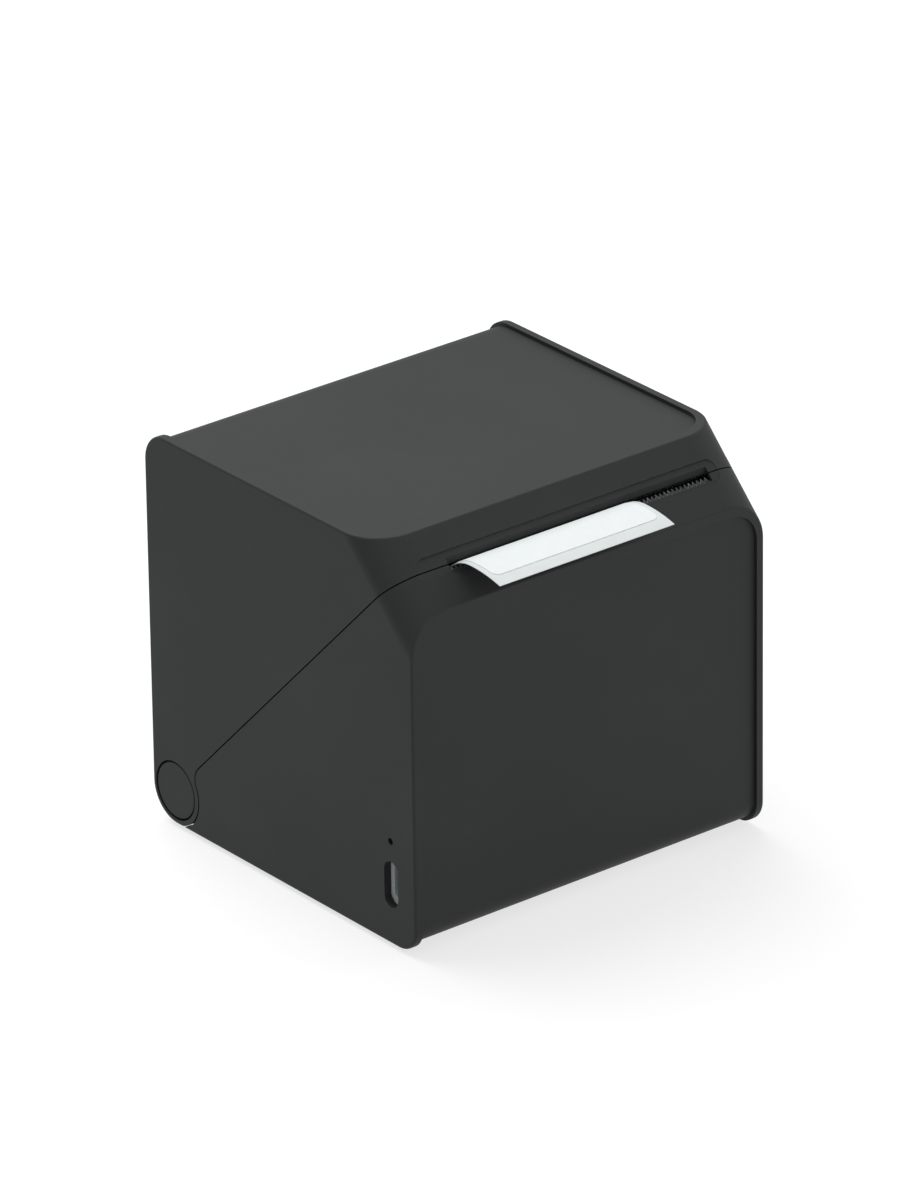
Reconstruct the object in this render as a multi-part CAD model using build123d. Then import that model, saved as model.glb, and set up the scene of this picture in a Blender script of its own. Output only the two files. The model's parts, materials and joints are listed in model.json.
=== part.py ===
from build123d import *
import math
import os

os.makedirs("parts", exist_ok=True)

# A desktop label printer, in millimetres. +Z is up, the front faces -Y and the port side -X.
# The origin is on the table, under the middle of the body.

# Body
body_width = 108.0
body_depth = 102.0
body_height = 102.0
foot_height = 1.0
slope_run = 14.3
slope_corner_radius = 11.4
top_back_radius = 7.6
front_bottom_radius = 6.6
knuckle_radius = 9.0
outer_edge_radius = 0.7
side_wall = 2.6
panel_wall = 2.2
inner_corner_radius = 9.0

# Sunk panels between the two cheeks
panel_recess = 1.0
rim_width = 2.3
panel_border = 2.6
top_panel_corner = 8.9
front_panel_corner = 8.2

# Joint between lid and base
parting_gap = 0.34
knuckle_gap = 0.4
parting_round = 4.6
cheek_gap = 0.3
barrel_mouth_depth = 1.0
barrel_mouth_height = 2.0

# Hinge pins, with their round heads sunk in the lid's cheeks
hinge_head_radius = 7.27
hinge_head_groove = 0.45
hinge_head_thickness = 1.8
hinge_head_sink = 0.1
hinge_head_round = 0.3
hinge_floor_gap = 0.1
hinge_pin_radius = 4.0
hinge_running_gap = 0.05
lid_boss_length = 2.0
arm_boss_radius = 5.3
arm_boss_length = 6.0
arm_neck_width = 2.8
arm_neck_angle = 154.0
trough_wall = 2.0
trough_top_angle = 142.0
trough_floor_angle = -112.0
gusset_length = 20.0
gusset_toe = 7.0
gusset_low_back = 9.5
gusset_low = 3.0
gusset_high_back = 11.0
gusset_high = 4.0

# Paper slot in the slope
slot_left_inset = 2.9
slot_right_inset = 2.4
slot_lower = 2.13
slot_lip_outer = 1.75
slot_lip_inner = 0.55
slot_lip_depth = 1.6
slot_lip_flare = 0.3
slot_cut_reach = 3.0
pocket_side = 8.4
pocket_upper = 3.38
pocket_lower = 2.95
pocket_depth = 0.35
pocket_corner = 2.6

# Tear bar
tear_depth = 1.2
tear_sheet = 0.5
tear_tip = 0.5
tear_tooth_height = 1.2
tear_pitch = 1.27
tear_bottom = 9.0
tear_side_gap = 0.3
tear_end_reach = 0.8

# Platen roller
platen_depth = 12.0
platen_radius = 4.8
platen_nip_gap = 0.12
platen_side_gap = 0.2
shaft_radius = 2.5
running_gap = 0.05
bush_radius = 4.0
bush_flange_radius = 5.0
bush_flange_thickness = 0.8
bush_reach = 0.4
shaft_end_reach = 1.0

# Frame of the mechanism
frame_left_gap = 11.7
frame_right_gap = 6.2
frame_sheet = 1.2
frame_front_gap = 1.3
frame_length = 15.5
frame_nose = 6.0
frame_tail = 22.0
frame_path_gap = 1.0
frame_cheek = 5.5
frame_shoulder = 0.5
frame_rib_width = 7.0
frame_rib_height = 9.0
frame_rib_setback = 4.0
frame_rib_gap = 5.2
frame_rib_inset = 7.2
frame_screw_setback = 9.0

# Gears
gear_module = 0.6
platen_teeth = 26
idler_teeth = 20
pinion_teeth = 10
gear_width = 4.4
gear_wall_gap = 6.4
gear_thinning = 0.09
gear_addendum = 0.9
gear_dedendum = 1.2
gear_pressure_angle = 20.0
gear_root_share = 0.6

# Motor
motor_behind_platen = 3.95
motor_below_platen = 17.28
motor_radius = 12.0
motor_length = 19.3
motor_edge_round = 1.0
motor_boss_radius = 4.0
motor_boss_gap = 0.2
motor_bore_gap = 0.1
motor_bore_depth = 8.0
motor_seat_gap = 0.5
motor_shaft_radius = 1.5
motor_shaft_reach = 0.5
motor_shaft_gap = 0.2
stud_radius = 1.5
stud_gap = 0.2
stud_head_radius = 2.4
stud_head_thickness = 0.7

# Paper ramp and gap sensor
ramp_gap = 0.5
ramp_wall = 1.2
ramp_low_angle = -40.0
ramp_high_angle = 66.0
ramp_join_angle = 62.0
ramp_join_reach = 1.6
ramp_join_drop = 0.2
ramp_lip_start = 17.8
ramp_lip_end = 22.2
ramp_lip_gap = 0.9
ramp_lip_thickness = 1.5
sensor_inset = 21.2
sensor_width = 8.0
sensor_start = 18.4
sensor_length = 2.8
sensor_gap = 1.0
sensor_thickness = 2.6

# Label roll
roll_back_space = 7.8
roll_floor_space = 7.8
roll_motor_space = 2.65
core_radius = 15.5
core_bore_radius = 12.7
liner_side_gap = 1.6
liner_width = 53.0
roll_side_gap = 0.4
hub_gap = 0.4
hub_length = 6.0
hub_wall = 2.0

# Paper
liner_thickness = 0.15
label_thickness = 0.15
label_margin = 1.5
label_length = 30.0
label_spacing = 3.0
label_lead = 3.6
label_corner = 2.0
web_curl_start = 3.2
web_curl_radius = 12.0
web_curl_angle = 45.0
web_droop_radius = 40.0
web_droop_angle = 15.5
web_turn_start = 18.5
web_turn_radius = 8.0
web_roll_gap = 0.3

# Roll bucket and media guides
bucket_gap = 2.5
bucket_wall = 1.6
bucket_ramp_angle = 8.5
bucket_back_angle = 310.0
bucket_wall_gap = 5.4
guide_thickness = 1.8
guide_radius = 24.0
guide_leg_width = 16.0
guide_neck_width = 3.4
guide_slot_gap = 0.3
guide_shoe_width = 10.0
guide_shoe_length = 8.0
guide_shoe_thickness = 1.5
guide_end_gap = 1.0
seat_gap = 0.05
saddle_inset = 8.0
saddle_width = 2.0
saddle_height = 10.0
saddle_start = 10.0
saddle_front_reach = 25.0
saddle_back_reach = 19.5

# Print head, hung from the lid
head_front = 5.5
head_back = 17.5
head_nip_gap = 0.12
ceramic_thickness = 0.8
heat_sink_thickness = 3.5
bracket_sheet = 1.0
bracket_height = 9.0
head_pivot_depth = 16.5
head_pivot_height = 6.5
head_pin_radius = 1.25
head_pin_reach = 0.3
head_side_reach = 0.5
fin_count = 3
fin_start = 0.9
fin_gap = 0.9
fin_pitch = 1.8
fin_depth = 1.2
lug_inset = 1.0
lug_width = 3.0
lug_radius = 2.2
bracket_side_gap = 1.4
bracket_back_reach = 1.0
bracket_screw_inset = 10.0
bracket_screw_depth = 8.5
bracket_screw_spacing = 5.0
bracket_rib_width = 6.0
bracket_rib_start = 4.5
bracket_rib_end = 17.0
ear_start = 12.0
ear_end = 23.4
ear_drop = 3.0
bar_radius = 1.6
bar_depth = 21.0
bar_height = 5.8
spring_radius = 2.5
spring_wire = 0.6
spring_depth = 11.0
spring_screw_gap = 8.15
spring_gap = 0.3

# Ribbon cable
ribbon_gap = 0.1
ribbon_thickness = 0.4
ribbon_width = 14.0
ribbon_inset = 24.4
ribbon_front = 31.0
ribbon_low = 8.0

# Tongues and catch
tongue_start = 30.0
tongue_end = 46.0
tongue_reach = 4.0
tongue_root = 6.0
tongue_joint_gap = 1.5
tongue_thickness = 1.5
tongue_gap = 0.5
clip_rib_start = 34.0
clip_rib_end = 42.0
clip_rib_top = 5.0
clip_rib_thickness = 3.0
clip_rib_reach = 4.9
clip_inset = 1.0
clip_tip = 0.9
clip_sheet = 0.5
clip_gap = 0.3
clip_foot_inset = 0.3

# Bottom cover and foot
cover_side_inset = 5.4
cover_front_inset = 9.0
cover_back_inset = 21.0
cover_thickness = 1.2
cover_corner = 2.0
cover_gap = 0.2
cover_screw_inset = 1.6
cover_post_height = 3.4
ledge_width = 3.0
foot_side_inset = 6.0
foot_end_inset = 5.0
foot_width = 6.0
foot_corner = 8.0
foot_chamfer = 0.3

# Electronics
board_thickness = 1.6
board_setback = 4.3
board_wall_gap = 1.0
board_width = 80.4
board_lift = 7.0
board_rib_gap = 1.8
board_screw_inset = 3.5
board_port_inset = 14.4
main_chip_size = 12.0
main_chip_thickness = 1.4
main_chip_inset = 18.4
small_chip_length = 7.0
small_chip_width = 5.0
small_chip_thickness = 1.6
small_chip_inset = 50.4
small_chip_spacing = 9.0
head_socket_inset = 32.4
head_socket_length = 14.0
head_socket_width = 5.0
head_socket_height = 2.6
head_socket_edge = 2.0
motor_socket_inset = 62.4
motor_socket_length = 8.0
motor_socket_width = 6.0
motor_socket_height = 4.5
motor_socket_edge = 3.0
sensor_socket_inset = 36.4
sensor_socket_length = 8.0
sensor_socket_width = 4.0
sensor_socket_height = 3.5
sensor_socket_edge = 2.0
capacitor_radius = 2.9
capacitor_height = 7.0
capacitor_inset = 64.4
capacitor_spacing = 6.5
capacitor_rise = 3.0
port_height = 15.8
port_width = 5.2
port_length = 12.1
port_wall = 2.1
port_flange_margin = 0.6
port_flange_gap = 0.2
port_flange_thickness = 0.8
usb_width = 3.2
usb_length = 9.0
usb_depth = 7.3
usb_sheet = 0.3
usb_tongue_setback = 0.7
usb_tongue_thickness = 0.7
usb_tongue_length = 6.6
reset_height = 11.4
reset_hole_radius = 0.9
reset_plunger_radius = 0.7
reset_plunger_gap = 0.08
reset_plunger_reach = 1.3
reset_plunger_hold = 0.8
reset_bottom_gap = 0.15
reset_travel = 0.25
reset_body_setback = 2.6
reset_body_depth = 3.6
reset_body_side = 1.8
reset_body_height = 4.4
button_width = 4.4
button_length = 10.4
button_gap = 0.3
button_flange = 1.3
button_flange_thickness = 0.9
button_wall_gap = 0.3
button_round = 0.4
button_stem_radius = 1.5
button_switch_gap = 0.1
button_switch_height = 3.2
button_switch_size = 6.0
button_travel = 0.6
button_board_setback = 8.1
button_board_thickness = 1.6
button_board_gap = 0.2
button_board_reach = 5.4
button_board_height = 16.0
button_rib_width = 2.0
button_rib_reach = 5.0
button_rib_height = 14.0

# Fasteners
screw_radius = 1.1
screw_head_radius = 2.2
screw_head_height = 1.4
screw_length = 5.0
screw_hole_spare = 0.5
post_radius = 2.8

# How far a cutter passes its face, how far a rib runs into its wall, and when two places are the same
cut_over = 1.0
weld = 0.3
same_place = 0.01

# Places worked out from the sizes above
half_width = body_width / 2
front_y = -body_depth / 2
back_y = body_depth / 2
bottom_z = foot_height
top_z = foot_height + body_height
inner_half_width = half_width - side_wall
panel_half_width = half_width - rim_width
wall_inset = panel_recess + panel_wall
floor_z = bottom_z + wall_inset
front_wall_y = front_y + wall_inset
hinge_y = back_y - knuckle_radius
hinge_z = bottom_z + knuckle_radius
slot_y = front_y + slope_run / 2
slot_z = top_z - slope_run / 2
slope_top_y = front_y + slope_run
path_length = math.hypot(hinge_y - slot_y, hinge_z - slot_z)
path_y = (hinge_y - slot_y) / path_length
path_z = (hinge_z - slot_z) / path_length
far = 3 * max(body_width, body_depth, body_height)
frame_left = -(inner_half_width - frame_left_gap)
frame_right = inner_half_width - frame_right_gap
slot_left = frame_left + slot_left_inset
slot_right = frame_right - slot_right_inset
liner_left = slot_left + liner_side_gap
liner_right = liner_left + liner_width
cover_low = bottom_z + panel_recess
cover_top = cover_low + cover_thickness
cover_half_width = inner_half_width - cover_side_inset
cover_front = front_y + cover_front_inset
cover_back = back_y - cover_back_inset


def path_point(inward, below):
    """A place beside the paper path: inward from the slope, and below the parting plane."""
    return (slot_y + inward * path_y + below * path_z, slot_z + inward * path_z - below * path_y)


platen_y, platen_z = path_point(platen_depth, platen_radius + platen_nip_gap + liner_thickness)
motor_y = platen_y + motor_behind_platen
motor_z = platen_z - motor_below_platen
motor_left = frame_left + frame_sheet
frame_front = front_wall_y + frame_front_gap
frame_back = frame_front + frame_length
frame_top = motor_z - motor_radius - motor_seat_gap


def largest_roll():
    """The radius of the largest roll that fits between the floor, the back wall and the motor."""
    room_y = back_y - wall_inset - roll_back_space - motor_y
    room_z = cover_top + roll_floor_space - motor_z
    reach = motor_radius + roll_motor_space
    half = room_y - room_z + reach
    return half - math.sqrt(half ** 2 - room_y ** 2 - room_z ** 2 + reach ** 2)


roll_radius = largest_roll()
roll_y = back_y - wall_inset - roll_back_space - roll_radius
roll_z = cover_top + roll_floor_space + roll_radius
bucket_radius = roll_radius + bucket_gap
bucket_left = liner_left - roll_side_gap - guide_thickness
bucket_right = inner_half_width - bucket_wall_gap
ramp_end_radius = motor_radius + ramp_gap + ramp_wall
ramp_end_y = motor_y + ramp_end_radius * math.cos(math.radians(ramp_low_angle))
ramp_end_z = motor_z + ramp_end_radius * math.sin(math.radians(ramp_low_angle))
ramp_end_angle = math.degrees(math.atan2(ramp_end_z - roll_z, ramp_end_y - roll_y))
bucket_front_angle = ramp_end_angle + bucket_ramp_angle
sliding_guide_left = liner_right + roll_side_gap
guide_travel = bucket_right - guide_end_gap - sliding_guide_left - guide_thickness

board_front_y = front_wall_y + board_setback - board_thickness
board_back_y = front_wall_y + board_setback
board_left = -inner_half_width + board_wall_gap
board_right = board_left + board_width
board_bottom = bottom_z + board_lift
board_top = frame_top - frame_sheet - frame_rib_height - board_rib_gap
board_middle = (board_bottom + board_top) / 2
port_y = board_back_y + usb_width / 2
port_z = bottom_z + port_height
reset_z = port_z + reset_height


def outline(*points):
    return make_face(Polyline(*points, close=True))


def across(face, left, right):
    """Takes a face drawn in (y, z) across the width, from left to right."""
    return extrude(Plane.YZ.offset(left) * face, right - left)


def block(x_from, x_to, y_from, y_to, z_from, z_to):
    middle = ((x_from + x_to) / 2, (y_from + y_to) / 2, (z_from + z_to) / 2)
    return Pos(*middle) * Box(x_to - x_from, y_to - y_from, z_to - z_from)


def rod(y, z, radius, left, right):
    return across(Pos(y, z) * Circle(radius), left, right)


def tube(y, z, radius, bore, left, right):
    return across(Pos(y, z) * (Circle(radius) - Circle(bore)), left, right)


def path_block(inward_from, inward_to, below_from, below_to, left, right):
    face = outline(
        path_point(inward_from, below_from),
        path_point(inward_to, below_from),
        path_point(inward_to, below_to),
        path_point(inward_from, below_to),
    )
    return across(face, left, right)


def obround(y, z, width, length, left, right):
    """An upright slot shape on the body's side, from left to right."""
    return across(Pos(y, z) * Rot(0, 0, 90) * SlotOverall(length, width), left, right)


def round_corner(face, y, z, radius):
    nearest = min(face.vertices(), key=lambda corner: math.hypot(corner.X - y, corner.Y - z))
    return fillet(nearest, radius)


def ring_sector(y, z, radius, bore, angle_from, angle_to, left, right):
    """Part of a tube across the width, between two angles from +Y towards +Z."""
    first = math.radians(angle_from)
    last = math.radians(angle_to)
    middle = (first + last) / 2

    def at(distance, angle):
        return (y + distance * math.cos(angle), z + distance * math.sin(angle))

    edges = [
        ThreePointArc(at(radius, first), at(radius, middle), at(radius, last)),
        Line(at(radius, last), at(bore, last)),
        ThreePointArc(at(bore, last), at(bore, middle), at(bore, first)),
        Line(at(bore, first), at(radius, first)),
    ]
    return across(make_face(Curve() + edges), left, right)


def screw(head_seat, towards):
    """A pan-head screw with its head's seat at a point and its shank along a direction."""
    seat = Plane(origin=head_seat, z_dir=towards)
    shank = extrude(seat * Circle(screw_radius), screw_length)
    head = extrude(seat * Circle(screw_head_radius), -screw_head_height)
    return shank + head


def screw_hole(head_seat, towards):
    seat = Plane(origin=head_seat, z_dir=towards)
    return extrude(seat * Circle(screw_radius), screw_length + screw_hole_spare)


def save(shape, name):
    export_step(shape, f"parts/{name}.step")


# Body shapes shared by the lid and the base

def side_profile(inset):
    """The body seen from its side, moved inward by inset all round."""
    front = front_y + inset
    back = back_y - inset
    low = bottom_z + inset
    high = top_z - inset
    slope_rise = top_z - front_y - slope_run - inset * math.sqrt(2)
    slope_bottom = slope_rise + front
    slope_top = high - slope_rise
    face = outline((front, low), (front, slope_bottom), (slope_top, high), (back, high), (back, low))
    face = round_corner(face, back, high, top_back_radius - inset)
    face = round_corner(face, back, low, knuckle_radius - inset)
    return round_corner(face, front, low, front_bottom_radius - inset)


def slope_corner(side, half, slope_top_y, high, radius):
    """What the large rounding takes off, where the slope meets one side."""
    middle_x = half - radius
    middle_y = slope_top_y + radius
    reach = radius / 2
    arc_middle = radius * math.sqrt(0.5)
    edges = [
        ThreePointArc(
            (side * middle_x, slope_top_y),
            (side * (middle_x + arc_middle), middle_y - arc_middle),
            (side * half, middle_y),
        ),
        Polyline(
            (side * half, middle_y),
            (side * (half + reach), middle_y),
            (side * (half + reach), slope_top_y - reach),
            (side * middle_x, slope_top_y - reach),
            (side * middle_x, slope_top_y),
        ),
    ]
    start = 3 * reach
    face = Pos(0, start, high + start) * make_face(Curve() + edges)
    run = slope_run + slope_corner_radius + 2 * start
    return Part() + Solid.extrude(face.face(), Vector(0, -run, -run))


def make_body():
    """The whole outer form, with its sunk panels and the shallow pocket round the slot."""
    body = across(side_profile(0), -half_width, half_width)
    for side in (-1, 1):
        body -= slope_corner(side, half_width, slope_top_y, top_z, slope_corner_radius)
    corner_reach = slope_run + 2 * slope_corner_radius
    sharp = []
    for edge in body.edges():
        box = edge.bounding_box()
        on_side = box.size.X < same_place and abs(abs(box.center().X) - half_width) < same_place
        slanted = min(box.size.Y, box.size.Z) > slope_run / 3 and edge.geom_type == GeomType.LINE
        on_top = box.size.Z < same_place and box.max.Z > top_z - same_place
        on_front = box.size.Y < same_place and box.min.Y < front_y + same_place
        at_slope = on_top and box.max.Y < front_y + corner_reach
        at_front = on_front and box.min.Z > top_z - corner_reach
        if (on_side and not slanted) or at_slope or at_front:
            sharp.append(edge)
    body = fillet(sharp, outer_edge_radius)

    panel_body = across(side_profile(panel_recess), -half_width, half_width)
    top_front = slope_top_y + panel_border
    top_cut = extrude(
        Pos(0, top_front + far / 2, body_height / 2)
        * RectangleRounded(2 * panel_half_width, far, top_panel_corner),
        body_height,
    )
    front_top = top_z - slope_run - panel_border
    front_face = Pos(0, front_top - far / 2) * RectangleRounded(
        2 * panel_half_width, far, front_panel_corner
    )
    front_plane = Plane(origin=(0, 0, 0), x_dir=(1, 0, 0), z_dir=(0, -1, 0))
    front_cut = extrude(front_plane * front_face, body_depth)
    lower_cut = block(
        -panel_half_width, panel_half_width, 0, body_depth, bottom_z - wall_inset, body_height / 2
    )
    for cut in (top_cut, front_cut, lower_cut):
        body -= cut - panel_body

    slope_plane = Plane(origin=(0, slot_y, slot_z), x_dir=(1, 0, 0), z_dir=(0, -1, 1))
    pocket_width = 2 * (half_width - pocket_side)
    pocket_face = Pos(0, (pocket_upper - pocket_lower) / 2) * RectangleRounded(
        pocket_width, pocket_upper + pocket_lower, pocket_corner
    )
    return body - extrude(slope_plane * pocket_face, -pocket_depth)


def make_cavity():
    """The space inside the walls, rounded like the outside where the slope meets the sides."""
    cavity = across(side_profile(wall_inset), -inner_half_width, inner_half_width)
    inner_top_y = slope_top_y + wall_inset * (math.sqrt(2) - 1)
    for side in (-1, 1):
        cavity -= slope_corner(
            side, inner_half_width, inner_top_y, top_z - wall_inset, inner_corner_radius
        )
    return cavity


def lid_region(left, right):
    """Everything on the lid's side of the joint line, with the round knuckle."""
    shift = -parting_gap / 2
    face = outline(
        path_point(-far, shift),
        path_point(path_length, shift),
        (hinge_y, bottom_z - wall_inset),
        (back_y + wall_inset, bottom_z - wall_inset),
        (far, far),
    )
    face += Pos(hinge_y, hinge_z) * Circle(knuckle_radius)
    meeting = path_point(path_length - knuckle_radius, shift)
    face = round_corner(face, *meeting, parting_round + parting_gap)
    return across(face, left, right)


def base_region(left, right):
    """Everything on the base's side of the joint line, hollowed round the knuckle."""
    shift = parting_gap / 2
    face = outline(
        path_point(-far, shift),
        path_point(path_length, shift),
        (hinge_y, -far),
        (-far, -far),
    )
    hollow = knuckle_radius + knuckle_gap
    face -= Pos(hinge_y, hinge_z) * Circle(hollow)
    meeting = path_point(path_length - hollow, shift)
    face = round_corner(face, *meeting, parting_round)
    return across(face, left, right)


body = make_body()
cavity = make_cavity()


# Hinge

pin_outer_x = half_width - hinge_head_sink
head_floor_x = pin_outer_x - hinge_head_thickness - hinge_floor_gap
lid_boss_x = inner_half_width - lid_boss_length
arm_x = lid_boss_x - cheek_gap
arm_end_x = arm_x - arm_boss_length


def hinge_pin(side):
    left, right = sorted((side * pin_outer_x, side * (pin_outer_x - hinge_head_thickness)))
    head = rod(hinge_y, hinge_z, hinge_head_radius, left, right)
    head = fillet(head.faces().sort_by(Axis.X)[0 if side < 0 else -1].edges(), hinge_head_round)
    left, right = sorted((side * (pin_outer_x - hinge_head_thickness), side * arm_end_x))
    return head + rod(hinge_y, hinge_z, hinge_pin_radius, left, right)


save(hinge_pin(-1), "hinge_pin_left")
save(hinge_pin(1), "hinge_pin_right")


# Lid

def slot_lip_cut():
    """The slanted lip above the paper slot, and the room for the paper below it."""
    face = outline(
        path_point(-cut_over, -slot_lip_outer - slot_lip_flare),
        path_point(pocket_depth, -slot_lip_outer),
        path_point(slot_lip_depth, -slot_lip_inner),
        path_point(wall_inset + slot_cut_reach, -slot_lip_inner),
        path_point(wall_inset + slot_cut_reach, cut_over),
        path_point(-cut_over, cut_over),
    )
    return across(face, slot_left, slot_right)


def bracket_ribs():
    """Two ribs under the lid's top that the head bracket is screwed to."""
    room = across(side_profile(wall_inset - weld), -half_width, half_width)
    ribs = Part()
    for middle in bracket_screw_xs:
        rib = path_block(
            bracket_rib_start, bracket_rib_end, -far, -bracket_height - bracket_sheet,
            middle - bracket_rib_width / 2, middle + bracket_rib_width / 2,
        )
        ribs += rib & room
    return ribs


def lid_tongues():
    """Flat tongues inside the cheeks that guide the lid into the base as it closes."""
    outer = inner_half_width - tongue_gap
    inner = outer - tongue_thickness
    tongues = Part()
    for side in (-1, 1):
        left, right = sorted((side * inner, side * outer))
        tongues += path_block(tongue_start, tongue_end, -tongue_root, tongue_reach, left, right)
        left, right = sorted((side * inner, side * (inner_half_width + weld)))
        tongues += path_block(tongue_start, tongue_end, -tongue_root, -tongue_joint_gap, left, right)
    return tongues


def make_lid():
    lid = body & lid_region(-half_width, half_width)
    lid -= cavity
    lid -= block(
        -inner_half_width, inner_half_width,
        hinge_y - 2 * knuckle_radius, hinge_y - barrel_mouth_depth,
        bottom_z - cut_over, hinge_z + barrel_mouth_height,
    )
    lid -= slot_lip_cut()
    lid += bracket_ribs()
    lid += lid_tongues()
    boss_radius = knuckle_radius - wall_inset
    for side in (-1, 1):
        left, right = sorted((side * lid_boss_x, side * (inner_half_width + weld)))
        lid += rod(hinge_y, hinge_z, boss_radius, left, right)
        left, right = sorted((side * head_floor_x, side * (half_width + cut_over)))
        lid -= rod(hinge_y, hinge_z, hinge_head_radius + hinge_head_groove, left, right)
        left, right = sorted((side * (lid_boss_x - cut_over), side * (half_width + cut_over)))
        lid -= rod(hinge_y, hinge_z, hinge_pin_radius + hinge_running_gap, left, right)
    for seat in bracket_seats:
        lid -= screw_hole(seat, bracket_screw_way)
    return lid


rubber_left = frame_left + frame_sheet + bush_flange_thickness + platen_side_gap
rubber_right = frame_right - frame_sheet - bush_flange_thickness - platen_side_gap
ceramic_left = rubber_left - head_side_reach
ceramic_right = rubber_right + head_side_reach
bracket_left = ceramic_left - bracket_side_gap - bracket_sheet
bracket_right = ceramic_right + bracket_side_gap + bracket_sheet
bracket_screw_way = Vector(0, -path_z, path_y)
bracket_screw_xs = (bracket_left + bracket_screw_inset, bracket_right - bracket_screw_inset)
bracket_seats = []
for seat_x in bracket_screw_xs:
    for seat_depth in (bracket_screw_depth, bracket_screw_depth + bracket_screw_spacing):
        seat_y, seat_z = path_point(seat_depth, -bracket_height)
        bracket_seats.append((seat_x, seat_y, seat_z))

save(make_lid(), "lid_shell")


# Base shell

first_frame_rib = motor_left + motor_length + frame_rib_gap
last_frame_rib = frame_right - frame_rib_inset
frame_rib_centres = (first_frame_rib, (first_frame_rib + last_frame_rib) / 2, last_frame_rib)
frame_seats = [(x, frame_back - frame_screw_setback, frame_top) for x in frame_rib_centres]
board_screw_places = [
    (x, z)
    for x in (board_left + board_port_inset, board_right - board_screw_inset)
    for z in (board_bottom + board_screw_inset, board_top - board_screw_inset)
]
cover_screw_x = cover_half_width - cover_screw_inset
cover_screw_places = [
    (x, y)
    for x in (-cover_screw_x, cover_screw_x)
    for y in (cover_front + cover_screw_inset, cover_back - cover_screw_inset)
]
button_board_x = inner_half_width - button_board_setback
clip_rib_inner = inner_half_width - clip_rib_reach


def base_hinge_arms():
    """Bosses that hold the hinge pins, on necks that reach into the lid's barrel."""
    hollow = knuckle_radius - panel_recess + knuckle_gap
    arms = ring_sector(
        hinge_y, hinge_z, hollow + trough_wall, hollow, trough_top_angle - 360, trough_floor_angle,
        -inner_half_width + cheek_gap, inner_half_width - cheek_gap,
    )
    direction = math.radians(arm_neck_angle)
    along = (math.cos(direction), math.sin(direction))
    beside = (-along[1] * arm_neck_width / 2, along[0] * arm_neck_width / 2)
    far_end = hollow + trough_wall - weld
    neck = outline(
        (hinge_y + beside[0], hinge_z + beside[1]),
        (hinge_y + far_end * along[0] + beside[0], hinge_z + far_end * along[1] + beside[1]),
        (hinge_y + far_end * along[0] - beside[0], hinge_z + far_end * along[1] - beside[1]),
        (hinge_y - beside[0], hinge_z - beside[1]),
    )
    gusset = outline(
        (hinge_y - gusset_length, floor_z - weld),
        (hinge_y - gusset_toe, floor_z - weld),
        (hinge_y - gusset_low_back, hinge_z + gusset_low),
        (hinge_y - gusset_high_back, hinge_z + gusset_high),
    )
    gusset -= Pos(hinge_y, hinge_z) * Circle(hollow + trough_wall / 2)
    for side in (-1, 1):
        left, right = sorted((side * arm_end_x, side * arm_x))
        arms += rod(hinge_y, hinge_z, arm_boss_radius, left, right)
        arms += across(neck, left, right)
        arms += across(gusset, left, right)
        arms -= rod(hinge_y, hinge_z, hinge_pin_radius, left - cut_over, right + cut_over)
    return arms


def base_front_ribs():
    """Ribs behind the front wall: seats of the mechanism's frame, and posts of the board."""
    ribs = Part()
    root_y = front_wall_y - weld
    for x in frame_rib_centres:
        ribs += block(
            x - frame_rib_width / 2, x + frame_rib_width / 2,
            root_y, frame_back - frame_rib_setback,
            frame_top - frame_sheet - frame_rib_height, frame_top - frame_sheet,
        )
    for x, z in board_screw_places:
        post = Plane(origin=(x, root_y, z), z_dir=(0, 1, 0)) * Circle(post_radius)
        ribs += extrude(post, board_front_y - root_y)
    ribs += block(
        button_board_x - button_rib_width, button_board_x, root_y, port_y + button_rib_reach,
        port_z - button_rib_height / 2, port_z + button_rib_height / 2,
    )
    for side in (-1, 1):
        left, right = sorted((side * clip_rib_inner, side * (inner_half_width + weld)))
        ribs += path_block(
            clip_rib_start, clip_rib_end, clip_rib_top, clip_rib_top + clip_rib_thickness, left, right
        )
    return ribs


def make_base():
    base = body & base_region(-half_width, half_width)
    base -= cavity
    base += base_hinge_arms()
    base -= path_block(
        -slot_cut_reach, wall_inset + slot_cut_reach, -cut_over, slot_lower, slot_left, slot_right
    )
    base -= path_block(
        tear_depth, wall_inset + slot_cut_reach, -cut_over, tear_bottom + tear_side_gap,
        slot_left - tear_end_reach, slot_right + tear_end_reach,
    )
    base += base_front_ribs()
    base -= block(
        -cover_half_width - cover_gap, cover_half_width + cover_gap,
        cover_front - cover_gap, cover_back + cover_gap,
        bottom_z - cut_over, cover_top,
    )
    base -= block(
        -cover_half_width + ledge_width, cover_half_width - ledge_width,
        cover_front + ledge_width, cover_back - ledge_width,
        bottom_z - cut_over, floor_z + cut_over,
    )
    for x, y in cover_screw_places:
        base += extrude(Pos(x, y, floor_z - weld) * Circle(post_radius), cover_post_height)
        base -= screw_hole((x, y, cover_top), (0, 0, 1))
    port_cut = (-half_width - cut_over, -inner_half_width + cut_over)
    flange_margin = 2 * (port_flange_margin + port_flange_gap)
    base -= obround(port_y, port_z, port_width, port_length, *port_cut)
    base -= obround(
        port_y, port_z, port_width + flange_margin, port_length + flange_margin,
        -half_width + port_wall, -inner_half_width + cut_over,
    )
    base -= rod(port_y, reset_z, reset_hole_radius, *port_cut)
    base -= obround(
        port_y, port_z, button_width + 2 * button_gap, button_length + 2 * button_gap,
        inner_half_width - cut_over, half_width + cut_over,
    )
    for seat in frame_seats:
        base -= screw_hole(seat, (0, 0, -1))
    for x, z in board_screw_places:
        base -= screw_hole((x, board_back_y, z), (0, -1, 0))
    return base


save(make_base(), "base_shell")


# Bottom cover, rubber foot and their screws

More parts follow.
